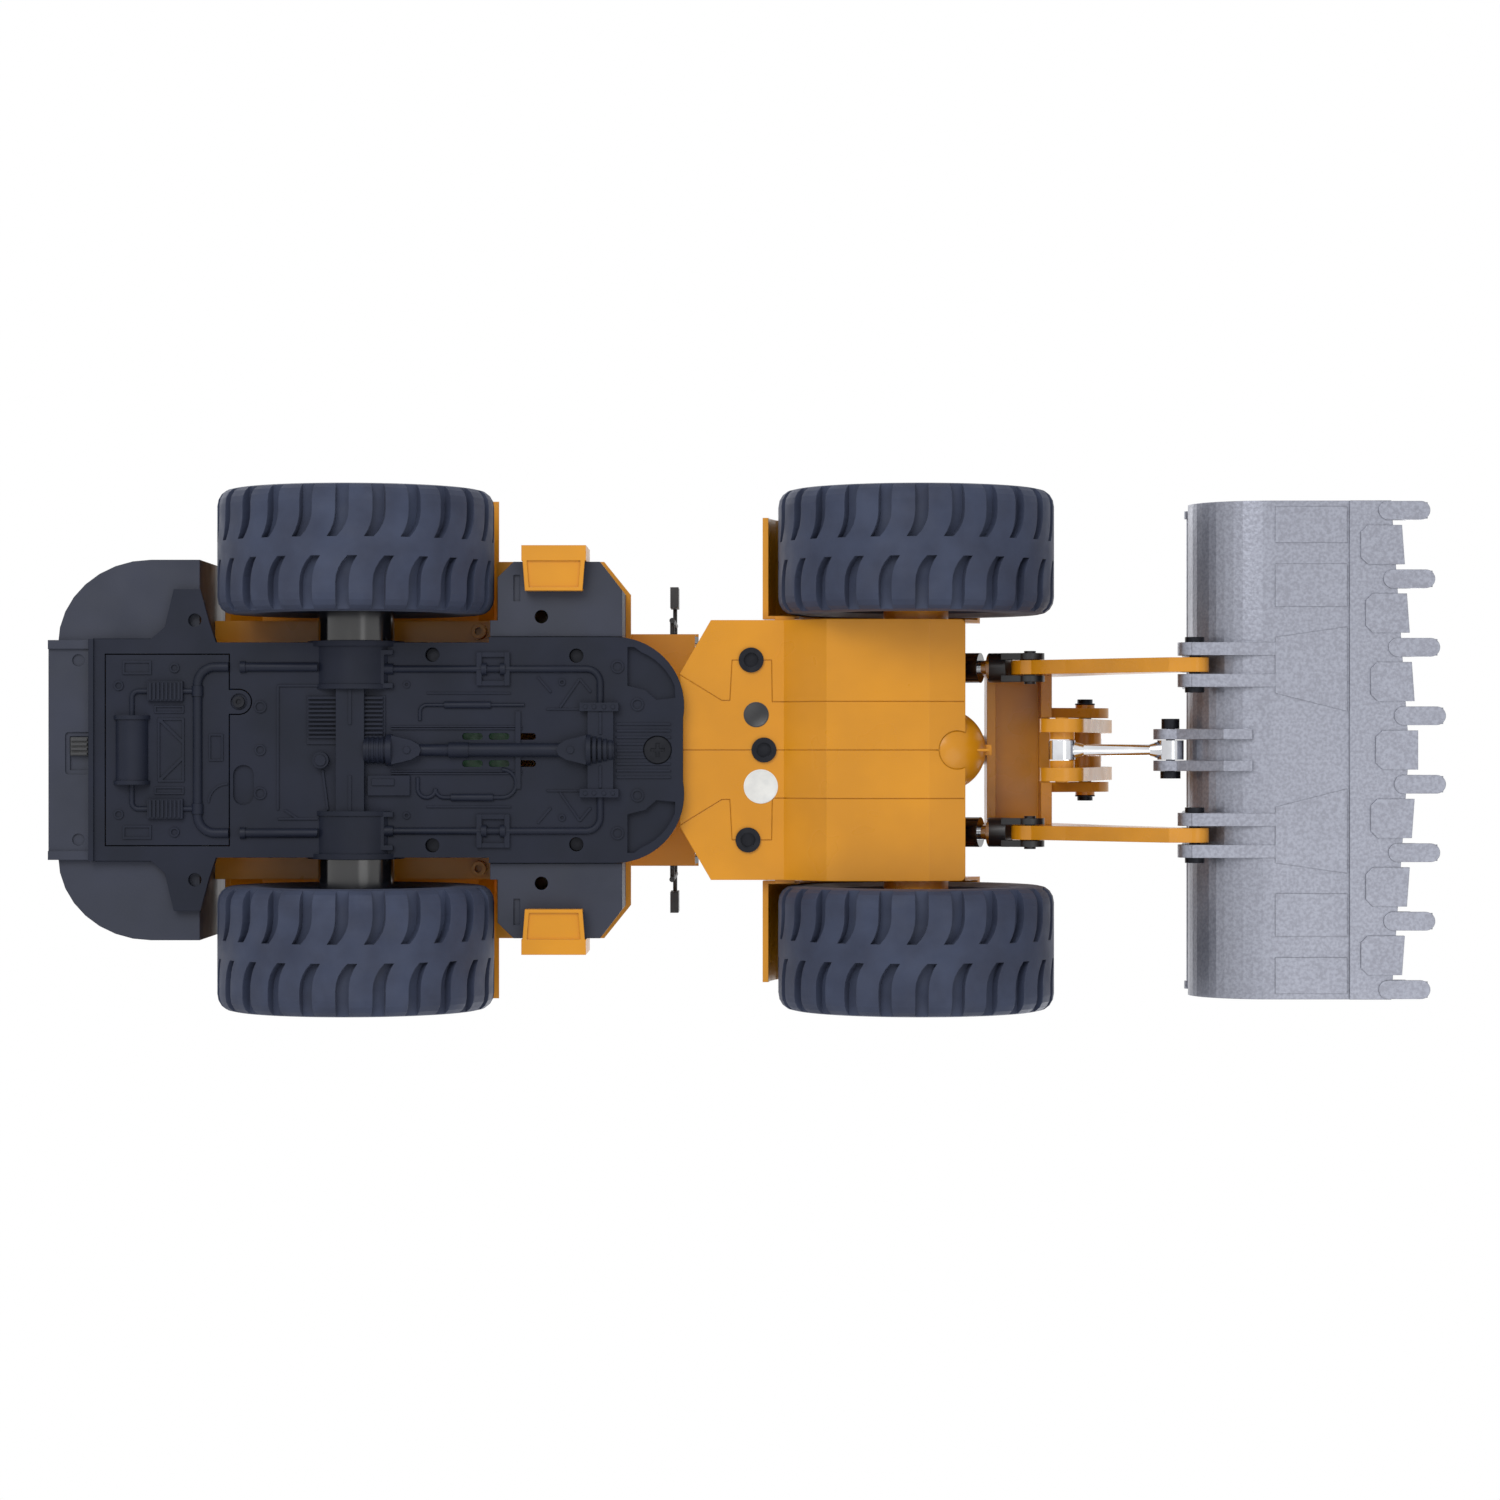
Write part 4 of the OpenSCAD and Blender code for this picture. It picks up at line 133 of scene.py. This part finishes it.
def linear(code):
    """A hex sRGB colour as linear RGBA."""
    parts = [int(code[i:i + 2], 16) / 255 for i in (0, 2, 4)]
    return [p / 12.92 if p <= 0.04045 else ((p + 0.055) / 1.055) ** 2.4 for p in parts] + [1.0]


def shade(code, factor):
    """The same hex colour, lighter or darker."""
    return "".join(f"{min(255, round(int(code[i:i + 2], 16) * factor)):02X}" for i in (0, 2, 4))


def add_node(tree, kind, settings=None, inputs=None, links=()):
    """Adds one node, sets it up and links (source socket, own input) pairs to it."""
    node = tree.nodes.new(kind)
    for key, value in (settings or {}).items():
        setattr(node, key, value)
    for key, value in (inputs or {}).items():
        node.inputs[key].default_value = value
    for source, target in links:
        tree.links.new(source, node.inputs[target])
    return node


def new_material(name):
    """An empty node material with its output and Object coordinates."""
    material = bpy.data.materials.new(name)
    material.use_nodes = True
    tree = material.node_tree
    tree.nodes.clear()
    output = add_node(tree, "ShaderNodeOutputMaterial")
    where = add_node(tree, "ShaderNodeTexCoord").outputs["Object"]
    return material, tree, output, where


def mottled(tree, where, dark, light, size_mm, low=0.35, high=0.65):
    """Colour that drifts between two hex values over patches of about size_mm."""
    noise = add_node(tree, "ShaderNodeTexNoise", inputs={"Scale": 1 / (size_mm * MM), "Detail": 3.0},
                     links=[(where, "Vector")])
    ramp = add_node(tree, "ShaderNodeValToRGB", links=[(noise.outputs["Fac"], "Fac")])
    ramp.color_ramp.elements[0].position = low
    ramp.color_ramp.elements[0].color = linear(dark)
    ramp.color_ramp.elements[1].position = high
    ramp.color_ramp.elements[1].color = linear(light)
    return ramp.outputs["Color"]


def spread(tree, where, size_mm, low, high):
    """A value that drifts between low and high over patches of about size_mm."""
    noise = add_node(tree, "ShaderNodeTexNoise", inputs={"Scale": 1 / (size_mm * MM), "Detail": 2.0},
                     links=[(where, "Vector")])
    span = add_node(tree, "ShaderNodeMapRange",
                    inputs={"From Min": 0.3, "From Max": 0.7, "To Min": low, "To Max": high},
                    links=[(noise.outputs["Fac"], "Value")])
    return span.outputs["Result"]


def surface_normal(tree, where, grain_mm, height_mm, strength, edge_mm):
    """Rounded edges of edge_mm with a fine grain on top."""
    edge = add_node(tree, "ShaderNodeBevel", settings={"samples": 4}, inputs={"Radius": edge_mm * MM})
    grain = add_node(tree, "ShaderNodeTexNoise", inputs={"Scale": 1 / (grain_mm * MM), "Detail": 2.0},
                     links=[(where, "Vector")])
    bump = add_node(tree, "ShaderNodeBump", inputs={"Strength": strength, "Distance": height_mm * MM},
                    links=[(grain.outputs["Fac"], "Height"), (edge.outputs["Normal"], "Normal")])
    return bump.outputs["Normal"]


def plastic(name, dark, light, patch_mm, rough, grain_mm, height_mm, strength, edge_mm, coat=0.0,
            face=0.5):
    """A moulded plastic: drifting colour, drifting gloss, grain and soft edges."""
    material, tree, output, where = new_material(name)
    colour = mottled(tree, where, dark, light, patch_mm)
    gloss = spread(tree, where, patch_mm * 0.7, rough[0], rough[1])
    normal = surface_normal(tree, where, grain_mm, height_mm, strength, edge_mm)
    shader = add_node(
        tree, "ShaderNodeBsdfPrincipled",
        inputs={"IOR": 1.54, "Specular IOR Level": face, "Coat Weight": coat, "Coat Roughness": 0.12},
        links=[(colour, "Base Color"), (gloss, "Roughness"), (normal, "Normal")])
    tree.links.new(shader.outputs["BSDF"], output.inputs["Surface"])
    return material


# ---------------------------------------------------------------- finishes

def body_orange(colours):
    # Injection-moulded ABS with a polished face: clean highlights with the faint ripple of the mould
    return plastic("abs_polished_orange", shade(colours.orange, 0.965), shade(colours.orange, 1.02), 38,
                   (0.26, 0.36), 5.0, 0.05, 0.35, 0.5, coat=0.15, face=0.3)


def loader_orange(colours):
    # Enamelled die casting: slightly deeper and glossier than the shell, with orange peel
    return plastic("enamel_cast_orange", shade(colours.orange, 0.93), shade(colours.orange, 0.99), 22,
                   (0.24, 0.36), 2.2, 0.05, 0.4, 0.5, coat=0.2, face=0.35)


def rim_orange(colours):
    # Moulded ABS rim, a little duller than the body
    return plastic("abs_moulded_rim_orange", shade(colours.orange, 0.9), shade(colours.orange, 0.98), 18,
                   (0.32, 0.44), 2.0, 0.04, 0.3, 0.5, coat=0.15)


def tray_abs(colours):
    # Spark-eroded mould texture: a fine matt grain that turns glossier on worn high spots
    return plastic("abs_grained_blue_grey", shade(colours.tray, 0.93), shade(colours.tray, 1.06), 26,
                   (0.42, 0.56), 0.9, 0.05, 0.55, 0.35, face=0.15)


def shell_abs(colours):
    # The same grained moulding in near-black
    return plastic("abs_grained_black", shade(colours.shell, 0.92), shade(colours.shell, 1.06), 30,
                   (0.44, 0.58), 1.0, 0.05, 0.5, 0.5, face=0.35)


def satin_black(colours):
    # Moulded nylon trim with a soft satin face
    return plastic("nylon_satin_black", "17181C", "1E2025", 16, (0.38, 0.52), 0.8, 0.03, 0.4, 0.3)


def gloss_black(colours):
    # Polished black ABS tube: mirror-like streaks of the studio lights
    return plastic("abs_polished_black", "0B0C0F", "121318", 25, (0.12, 0.2), 6.0, 0.03, 0.25, 0.4, coat=0.5)


def battery_sleeve(colours):
    # Shrink-wrapped vinyl over round cells, slightly wrinkled
    return plastic("vinyl_shrink_sleeve", "1F4F93", "2A62AE", 20, (0.25, 0.4), 3.5, 0.12, 0.5, 0.3)


def board_lacquer(colours):
    # Solder lacquer on glass-fibre laminate, with the weave showing through
    return plastic("lacquer_circuit_board", "17532D", "1F6B3A", 3.0, (0.3, 0.45), 0.8, 0.03, 0.5, 0.1)


def servo_case(colours):
    # Grained nylon gear case
    return plastic("nylon_grained_grey", "33363B", "3C4046", 12, (0.45, 0.6), 0.8, 0.04, 0.5, 0.3)


def metal(name, code, patch_mm, rough, grain_mm, height_mm, strength, edge_mm):
    """A bare or oxidised metal with drifting roughness."""
    material, tree, output, where = new_material(name)
    colour = mottled(tree, where, shade(code, 0.92), shade(code, 1.04), patch_mm)
    gloss = spread(tree, where, patch_mm * 0.6, rough[0], rough[1])
    normal = surface_normal(tree, where, grain_mm, height_mm, strength, edge_mm)
    shader = add_node(
        tree, "ShaderNodeBsdfPrincipled", inputs={"Metallic": 1.0},
        links=[(colour, "Base Color"), (gloss, "Roughness"), (normal, "Normal")])
    tree.links.new(shader.outputs["BSDF"], output.inputs["Surface"])
    return material


def chrome_steel(colours):
    # Plated rod: near mirror with faint smears
    return metal("chrome_plated_steel", "D9DBDF", 14, (0.07, 0.18), 4.0, 0.01, 0.2, 0.3)


def rod_and_eye(colours):
    # Plated rod that screws into a black moulded eye: a mirror up to the eye, soft black from there on
    material, tree, output, where = new_material("chrome_rod_black_eye")
    along = add_node(tree, "ShaderNodeSeparateXYZ", links=[(where, "Vector")])
    eye = add_node(tree, "ShaderNodeMath", settings={"operation": "GREATER_THAN"},
                   inputs={1: EYE_START * MM}, links=[(along.outputs["X"], 0)])
    rod = add_node(tree, "ShaderNodeMath", settings={"operation": "SUBTRACT"},
                   inputs={0: 1.0}, links=[(eye.outputs["Value"], 1)])
    colour = add_node(tree, "ShaderNodeMix", settings={"data_type": "RGBA"},
                      links=[(eye.outputs["Value"], "Factor")])
    tree.links.new(mottled(tree, where, "C9CCD1", "DDDFE3", 14), colour.inputs[6])
    tree.links.new(mottled(tree, where, "0D0E11", "16171B", 12), colour.inputs[7])
    gloss = add_node(tree, "ShaderNodeMapRange", inputs={"To Min": 0.12, "To Max": 0.32},
                     links=[(eye.outputs["Value"], "Value")])
    normal = surface_normal(tree, where, 3.0, 0.02, 0.3, 0.3)
    shader = add_node(
        tree, "ShaderNodeBsdfPrincipled",
        links=[(colour.outputs[2], "Base Color"), (rod.outputs["Value"], "Metallic"),
               (gloss.outputs["Result"], "Roughness"), (normal, "Normal")])
    tree.links.new(shader.outputs["BSDF"], output.inputs["Surface"])
    return material


def film_black(colours):
    # Blank vinyl disc, printed black: flat and slightly glossy
    return plastic("vinyl_film_black", "0C0D10", "14151A", 6, (0.28, 0.38), 2.0, 0.02, 0.3, 0.1)


def film_white(colours):
    # Blank vinyl disc, white film with a faint grey cast
    return plastic("vinyl_film_white", "D3D5D4", "E2E3E0", 6, (0.32, 0.44), 2.0, 0.02, 0.3, 0.1)


def oxide_steel(colours):
    # Screws and pins blackened in oil: dark with a dull metallic glint
    return metal("steel_black_oxide", "26272B", 6, (0.3, 0.46), 0.6, 0.02, 0.4, 0.25)


def motor_can(colours):
    # Zinc-plated motor can
    return metal("steel_zinc_plated", "A6A9AE", 9, (0.25, 0.4), 1.2, 0.02, 0.3, 0.3)


def tyre_rubber(colours):
    # Vulcanised rubber: dull, with a fine pebble from the mould and a paler bloom in patches
    material, tree, output, where = new_material("rubber_vulcanised_grey")
    bloom = mottled(tree, where, shade(colours.tyre, 0.9), shade(colours.tyre, 1.08), 17, 0.3, 0.7)
    dull = spread(tree, where, 11, 0.58, 0.76)
    normal = surface_normal(tree, where, 1.1, 0.06, 0.6, 0.5)
    shader = add_node(
        tree, "ShaderNodeBsdfPrincipled",
        inputs={"IOR": 1.5, "Specular IOR Level": 0.3, "Sheen Weight": 0.1, "Sheen Roughness": 0.5,
                "Sheen Tint": linear("9A9CAA")},
        links=[(bloom, "Base Color"), (dull, "Roughness"), (normal, "Normal")])
    tree.links.new(shader.outputs["BSDF"], output.inputs["Surface"])
    return material


def bucket_enamel(colours):
    # Hammered metallic enamel: a tight speckle of 1 to 2 mm dimples that glitter over a grey metal base
    material, tree, output, where = new_material("enamel_hammered_grey")
    colour = mottled(tree, where, shade(colours.bucket, 0.94), shade(colours.bucket, 1.05), 1.4, 0.38, 0.62)
    gloss = spread(tree, where, 20, 0.34, 0.44)
    normal = surface_normal(tree, where, 1.6, 0.16, 0.6, 0.5)
    shader = add_node(
        tree, "ShaderNodeBsdfPrincipled",
        inputs={"Metallic": 0.75, "Coat Weight": 0.2, "Coat Roughness": 0.2},
        links=[(colour, "Base Color"), (gloss, "Roughness"), (normal, "Normal")])
    tree.links.new(shader.outputs["BSDF"], output.inputs["Surface"])
    return material


def window_pane(colours):
    # Clear styrene pane: thin tinted glass look with faint flow marks
    material, tree, output, where = new_material("styrene_clear_pane")
    normal = surface_normal(tree, where, 14, 0.05, 0.2, 0.2)
    tint = mottled(tree, where, "C9D6DB", "DCE6EA", 40)
    shader = add_node(
        tree, "ShaderNodeBsdfPrincipled",
        inputs={"IOR": 1.1, "Roughness": 0.04, "Transmission Weight": 0.92, "Specular IOR Level": 0.8},
        links=[(tint, "Base Color"), (normal, "Normal")])
    tree.links.new(shader.outputs["BSDF"], output.inputs["Surface"])
    return material


def lens(name, dark, light):
    """A moulded lamp lens with fine ribs behind a polished face."""
    material, tree, output, where = new_material(name)
    ribs = add_node(tree, "ShaderNodeTexWave", settings={"bands_direction": "Y"},
                    inputs={"Scale": 1 / (2.2 * MM), "Distortion": 0.0}, links=[(where, "Vector")])
    ramp = add_node(tree, "ShaderNodeValToRGB", links=[(ribs.outputs["Fac"], "Fac")])
    ramp.color_ramp.elements[0].color = linear(dark)
    ramp.color_ramp.elements[1].color = linear(light)
    bump = add_node(tree, "ShaderNodeBump", inputs={"Strength": 0.3, "Distance": 0.2 * MM},
                    links=[(ribs.outputs["Fac"], "Height")])
    shader = add_node(
        tree, "ShaderNodeBsdfPrincipled", inputs={"IOR": 1.49, "Roughness": 0.12, "Coat Weight": 0.6},
        links=[(ramp.outputs["Color"], "Base Color"), (bump.outputs["Normal"], "Normal")])
    tree.links.new(shader.outputs["BSDF"], output.inputs["Surface"])
    return material


def red_lens(colours):
    # Tinted acrylic tail lens
    return lens("acrylic_red_lens", "7E1512", "C22A20")


def clear_lens(colours):
    # Clear acrylic over a bright reflector
    return lens("acrylic_clear_lens", "D9D4C4", "F4F1E6")


FINISHES = {
    "body_orange": body_orange,
    "loader_orange": loader_orange,
    "rim_orange": rim_orange,
    "tray_abs": tray_abs,
    "shell_abs": shell_abs,
    "tyre_rubber": tyre_rubber,
    "bucket_enamel": bucket_enamel,
    "chrome_steel": chrome_steel,
    "rod_and_eye": rod_and_eye,
    "film_black": film_black,
    "film_white": film_white,
    "gloss_black": gloss_black,
    "oxide_steel": oxide_steel,
    "satin_black": satin_black,
    "red_lens": red_lens,
    "clear_lens": clear_lens,
    "window_pane": window_pane,
    "battery_sleeve": battery_sleeve,
    "board_lacquer": board_lacquer,
    "motor_can": motor_can,
    "servo_case": servo_case,
}
made = {}


def finish_named(name):
    """The material of that name, made the first time it is asked for."""
    if name not in made:
        made[name] = FINISHES[name](bpy.context.scene.loader_colours)
    return made[name]


def dress(obj, name):
    """Gives obj one finish all over."""
    obj.data.materials.clear()
    obj.data.materials.append(finish_named(name))


# ---------------------------------------------------------------- operators

class LOADER_OT_finishes(bpy.types.Operator):
    """Gives every frame node its finish"""
    bl_idname = "loader.finishes"
    bl_label = "Finish the frame"

    def execute(self, context):
        for name, nodes in FINISH_OF_NODE.items():
            for node in nodes:
                dress(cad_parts[node], name)
        left = set(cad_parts) - {n for nodes in FINISH_OF_NODE.values() for n in nodes}
        if left:
            raise RuntimeError(f"nodes without a finish: {sorted(left)}")
        return {"FINISHED"}


def pick_faces(piece, wanted):
    """Selects only the faces of piece whose normal and centre pass the test."""
    bpy.ops.object.mode_set(mode="OBJECT")
    mesh = piece.data
    for part in (mesh.vertices, mesh.edges, mesh.polygons):
        part.foreach_set("select", [False] * len(part))
    for face in mesh.polygons:
        face.select = wanted(face)
    bpy.ops.object.mode_set(mode="EDIT")
    bpy.ops.mesh.select_mode(type="FACE")


def finish_piece(piece, name, finish, body, edge):
    """Softens the edges, leaves the place in the mesh, and fixes the piece to its body."""
    bpy.ops.object.mode_set(mode="OBJECT")
    piece.name = name
    bpy.ops.object.modifier_add(type="BEVEL")
    bevel = piece.modifiers[-1]
    bevel.width = edge
    bevel.segments = 2
    bevel.limit_method = "ANGLE"
    bpy.ops.object.modifier_apply(modifier=bevel.name)
    bpy.ops.object.transform_apply(location=True, rotation=True, scale=True)
    bpy.ops.object.shade_smooth_by_angle(angle=math.radians(35))
    dress(piece, finish)
    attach(piece, body)


def blank_disc(name, radius, thick, place, finish):
    """A thin blank disc with a slightly sunk middle, stuck under the front cover."""
    bpy.ops.object.select_all(action="DESELECT")
    bpy.ops.mesh.primitive_cylinder_add(
        vertices=64, radius=radius, depth=thick, location=(place[0], place[1], place[2] - 0.3 * thick))
    piece = bpy.context.object
    pick_faces(piece, lambda face: face.normal.z < -0.9)
    bpy.ops.mesh.inset(thickness=0.08 * radius)
    bpy.ops.mesh.extrude_region_move(TRANSFORM_OT_translate={"value": (0, 0, 0.15 * thick)})
    finish_piece(piece, name, finish, "front_frame", 0.1 * thick)


def pin_head(name, pivot, nodes, body, fittings):
    """A washer and a socket head on the outermost face around a pivot, on both sides."""
    radius, height = fittings.head, fittings.head_height
    for side, suffix in ((1, "left"), (-1, "right")):
        seat = max(side * v.co.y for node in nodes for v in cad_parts[node].data.vertices
                   if math.hypot(v.co.x - pivot[0], v.co.z - pivot[1]) < 1.6 * radius)
        bpy.ops.object.select_all(action="DESELECT")
        bpy.ops.mesh.primitive_cylinder_add(vertices=48, radius=1.3 * radius, depth=0.3 * height)
        piece = bpy.context.object
        pick_faces(piece, lambda face: face.normal.z > 0.9)
        bpy.ops.mesh.inset(thickness=0.3 * radius)
        bpy.ops.mesh.extrude_region_move(TRANSFORM_OT_translate={"value": (0, 0, 0.8 * height)})
        # The round socket goes halfway down the head
        bpy.ops.mesh.inset(thickness=0.45 * radius)
        bpy.ops.mesh.extrude_region_move(TRANSFORM_OT_translate={"value": (0, 0, -0.5 * height)})
        bpy.ops.object.mode_set(mode="OBJECT")
        piece.rotation_euler = (-side * math.pi / 2, 0, 0)
        piece.location = (pivot[0], side * (seat + 0.12 * height), pivot[1])
        finish_piece(piece, f"{name}_{suffix}", "oxide_steel", body, 0.08 * height)


class LOADER_OT_discs(bpy.types.Operator):
    """Sticks the two blank discs under the front cover"""
    bl_idname = "loader.discs"
    bl_label = "Add the discs"

    def execute(self, context):
        fittings = context.scene.loader_fittings
        blank_disc("cover_disc_black", fittings.black_disc, fittings.film, BLACK_DISC_AT, "film_black")
        blank_disc("cover_disc_white", fittings.white_disc, fittings.film, WHITE_DISC_AT, "film_white")
        return {"FINISHED"}


class LOADER_OT_pin_heads(bpy.types.Operator):
    """Puts socket heads on the pivots of arms, lift rods and crank"""
    bl_idname = "loader.pin_heads"
    bl_label = "Add the pin heads"

    def execute(self, context):
        fittings = context.scene.loader_fittings
        arms = ("lift_arm_left", "lift_arm_right")
        pin_head("arm_pin_head", ARM_PIVOT, arms + ("loader_tower",), "front_frame", fittings)
        pin_head("rod_pin_head", ROD_PIVOT, arms, "lift_arms", fittings)
        pin_head("crank_pin_head", CRANK_PIVOT, ("arm_beam", "bell_crank"), "lift_arms", fittings)
        return {"FINISHED"}


class LOADER_OT_stage(bpy.types.Operator):
    """Sets the floor, the world, the lamps and the camera"""
    bl_idname = "loader.stage"
    bl_label = "Set the stage"

    def execute(self, context):
        stage = context.scene.loader_stage
        bpy.ops.object.select_all(action="DESELECT")
        self.world(context, stage)
        self.floor(stage)
        self.lamps(stage)
        self.camera(context, stage)
        context.scene.view_settings.view_transform = "Standard"
        return {"FINISHED"}

    def world(self, context, stage):
        world = bpy.data.worlds.new("studio")
        context.scene.world = world
        world.use_nodes = True
        tree = world.node_tree
        tree.nodes.clear()
        path = add_node(tree, "ShaderNodeLightPath")
        seen = add_node(tree, "ShaderNodeMath", settings={"operation": "MAXIMUM"},
                        links=[(path.outputs["Is Camera Ray"], 0), (path.outputs["Is Glossy Ray"], 1)])
        seen = add_node(tree, "ShaderNodeMath", settings={"operation": "MAXIMUM"},
                        links=[(seen.outputs["Value"], 0), (path.outputs["Is Transmission Ray"], 1)])
        fill = add_node(tree, "ShaderNodeBackground", inputs={"Color": (1, 1, 1, 1), "Strength": stage.sky})
        white = add_node(tree, "ShaderNodeBackground", inputs={"Color": (1, 1, 1, 1), "Strength": 1.0})
        mix = add_node(tree, "ShaderNodeMixShader",
                       links=[(seen.outputs["Value"], 0), (fill.outputs["Background"], 1),
                              (white.outputs["Background"], 2)])
        add_node(tree, "ShaderNodeOutputWorld", links=[(mix.outputs["Shader"], "Surface")])

    def floor(self, stage):
        bpy.ops.mesh.primitive_plane_add(size=stage.floor, location=(0, 0, 0))
        floor = bpy.context.object
        floor.name = "studio_floor"
        # Painted board, seen only from above: from below the light and the camera pass it
        material, tree, output, where = new_material("board_painted_white")
        paint = add_node(tree, "ShaderNodeBsdfDiffuse",
                         links=[(mottled(tree, where, "F6F6F6", "FAFAFA", 400), "Color")])
        clear = add_node(tree, "ShaderNodeBsdfTransparent")
        side = add_node(tree, "ShaderNodeNewGeometry")
        mix = add_node(tree, "ShaderNodeMixShader",
                       links=[(side.outputs["Backfacing"], 0), (paint.outputs["BSDF"], 1),
                              (clear.outputs["BSDF"], 2)])
        tree.links.new(mix.outputs["Shader"], output.inputs["Surface"])
        floor.data.materials.append(material)
        floor.visible_shadow = False
        floor.visible_diffuse = False
        floor.visible_glossy = False

    def lamps(self, stage):
        places = (
            ("under_key", (-0.5, -0.9, -1.5), 1.0, 1.0),
            ("under_fill", (0.7, 0.6, -1.6), 1.4, 0.45),
            ("over_key", (0.8, 1.0, 1.6), 1.0, 1.0),
            ("over_fill", (-0.9, -0.8, 1.5), 1.4, 0.6),
        )
        for name, place, size, share in places:
            bpy.ops.object.light_add(type="AREA", location=place)
            lamp = bpy.context.object
            lamp.name = name
            lamp.data.shape = "SQUARE"
            lamp.data.size = size
            lamp.data.energy = stage.key * share
            aim = Vector((0, 0, 0.08)) - Vector(place)
            lamp.rotation_euler = aim.to_track_quat("-Z", "Y").to_euler()

    def camera(self, context, stage):
        bpy.ops.object.camera_add(location=(stage.aim, 0, -stage.distance), rotation=(math.pi, 0, 0))
        camera = bpy.context.object
        camera.data.lens = stage.lens
        camera.data.sensor_width = 36
        camera.data.clip_end = 20
        context.scene.camera = camera


class LOADER_PT_panel(bpy.types.Panel):
    """Lists the steps that dress the loader"""
    bl_idname = "LOADER_PT_panel"
    bl_label = "Toy Front Loader"
    bl_space_type = "VIEW_3D"
    bl_region_type = "UI"
    bl_category = "Loader"

    def draw(self, context):
        column = self.layout.column()
        for group in ("loader_colours", "loader_fittings", "loader_stage"):
            settings = getattr(context.scene, group)
            for key in settings.bl_rna.properties.keys():
                if key not in ("rna_type", "name"):
                    column.prop(settings, key)
        for operator in STEPS:
            column.operator(operator.bl_idname)


STEPS = (LOADER_OT_stage, LOADER_OT_finishes, LOADER_OT_discs, LOADER_OT_pin_heads)
CLASSES = (LoaderColours, LoaderFittings, LoaderStage) + STEPS + (LOADER_PT_panel,)


def register():
    for cls in CLASSES:
        bpy.utils.register_class(cls)
    bpy.types.Scene.loader_colours = bpy.props.PointerProperty(type=LoaderColours)
    bpy.types.Scene.loader_fittings = bpy.props.PointerProperty(type=LoaderFittings)
    bpy.types.Scene.loader_stage = bpy.props.PointerProperty(type=LoaderStage)


def unregister():
    del bpy.types.Scene.loader_stage
    del bpy.types.Scene.loader_fittings
    del bpy.types.Scene.loader_colours
    for cls in reversed(CLASSES):
        bpy.utils.unregister_class(cls)


def main():
    register()
    for operator in STEPS:
        group, name = operator.bl_idname.split(".")
        getattr(getattr(bpy.ops, group), name)()


if __name__ == "__main__":
    main()
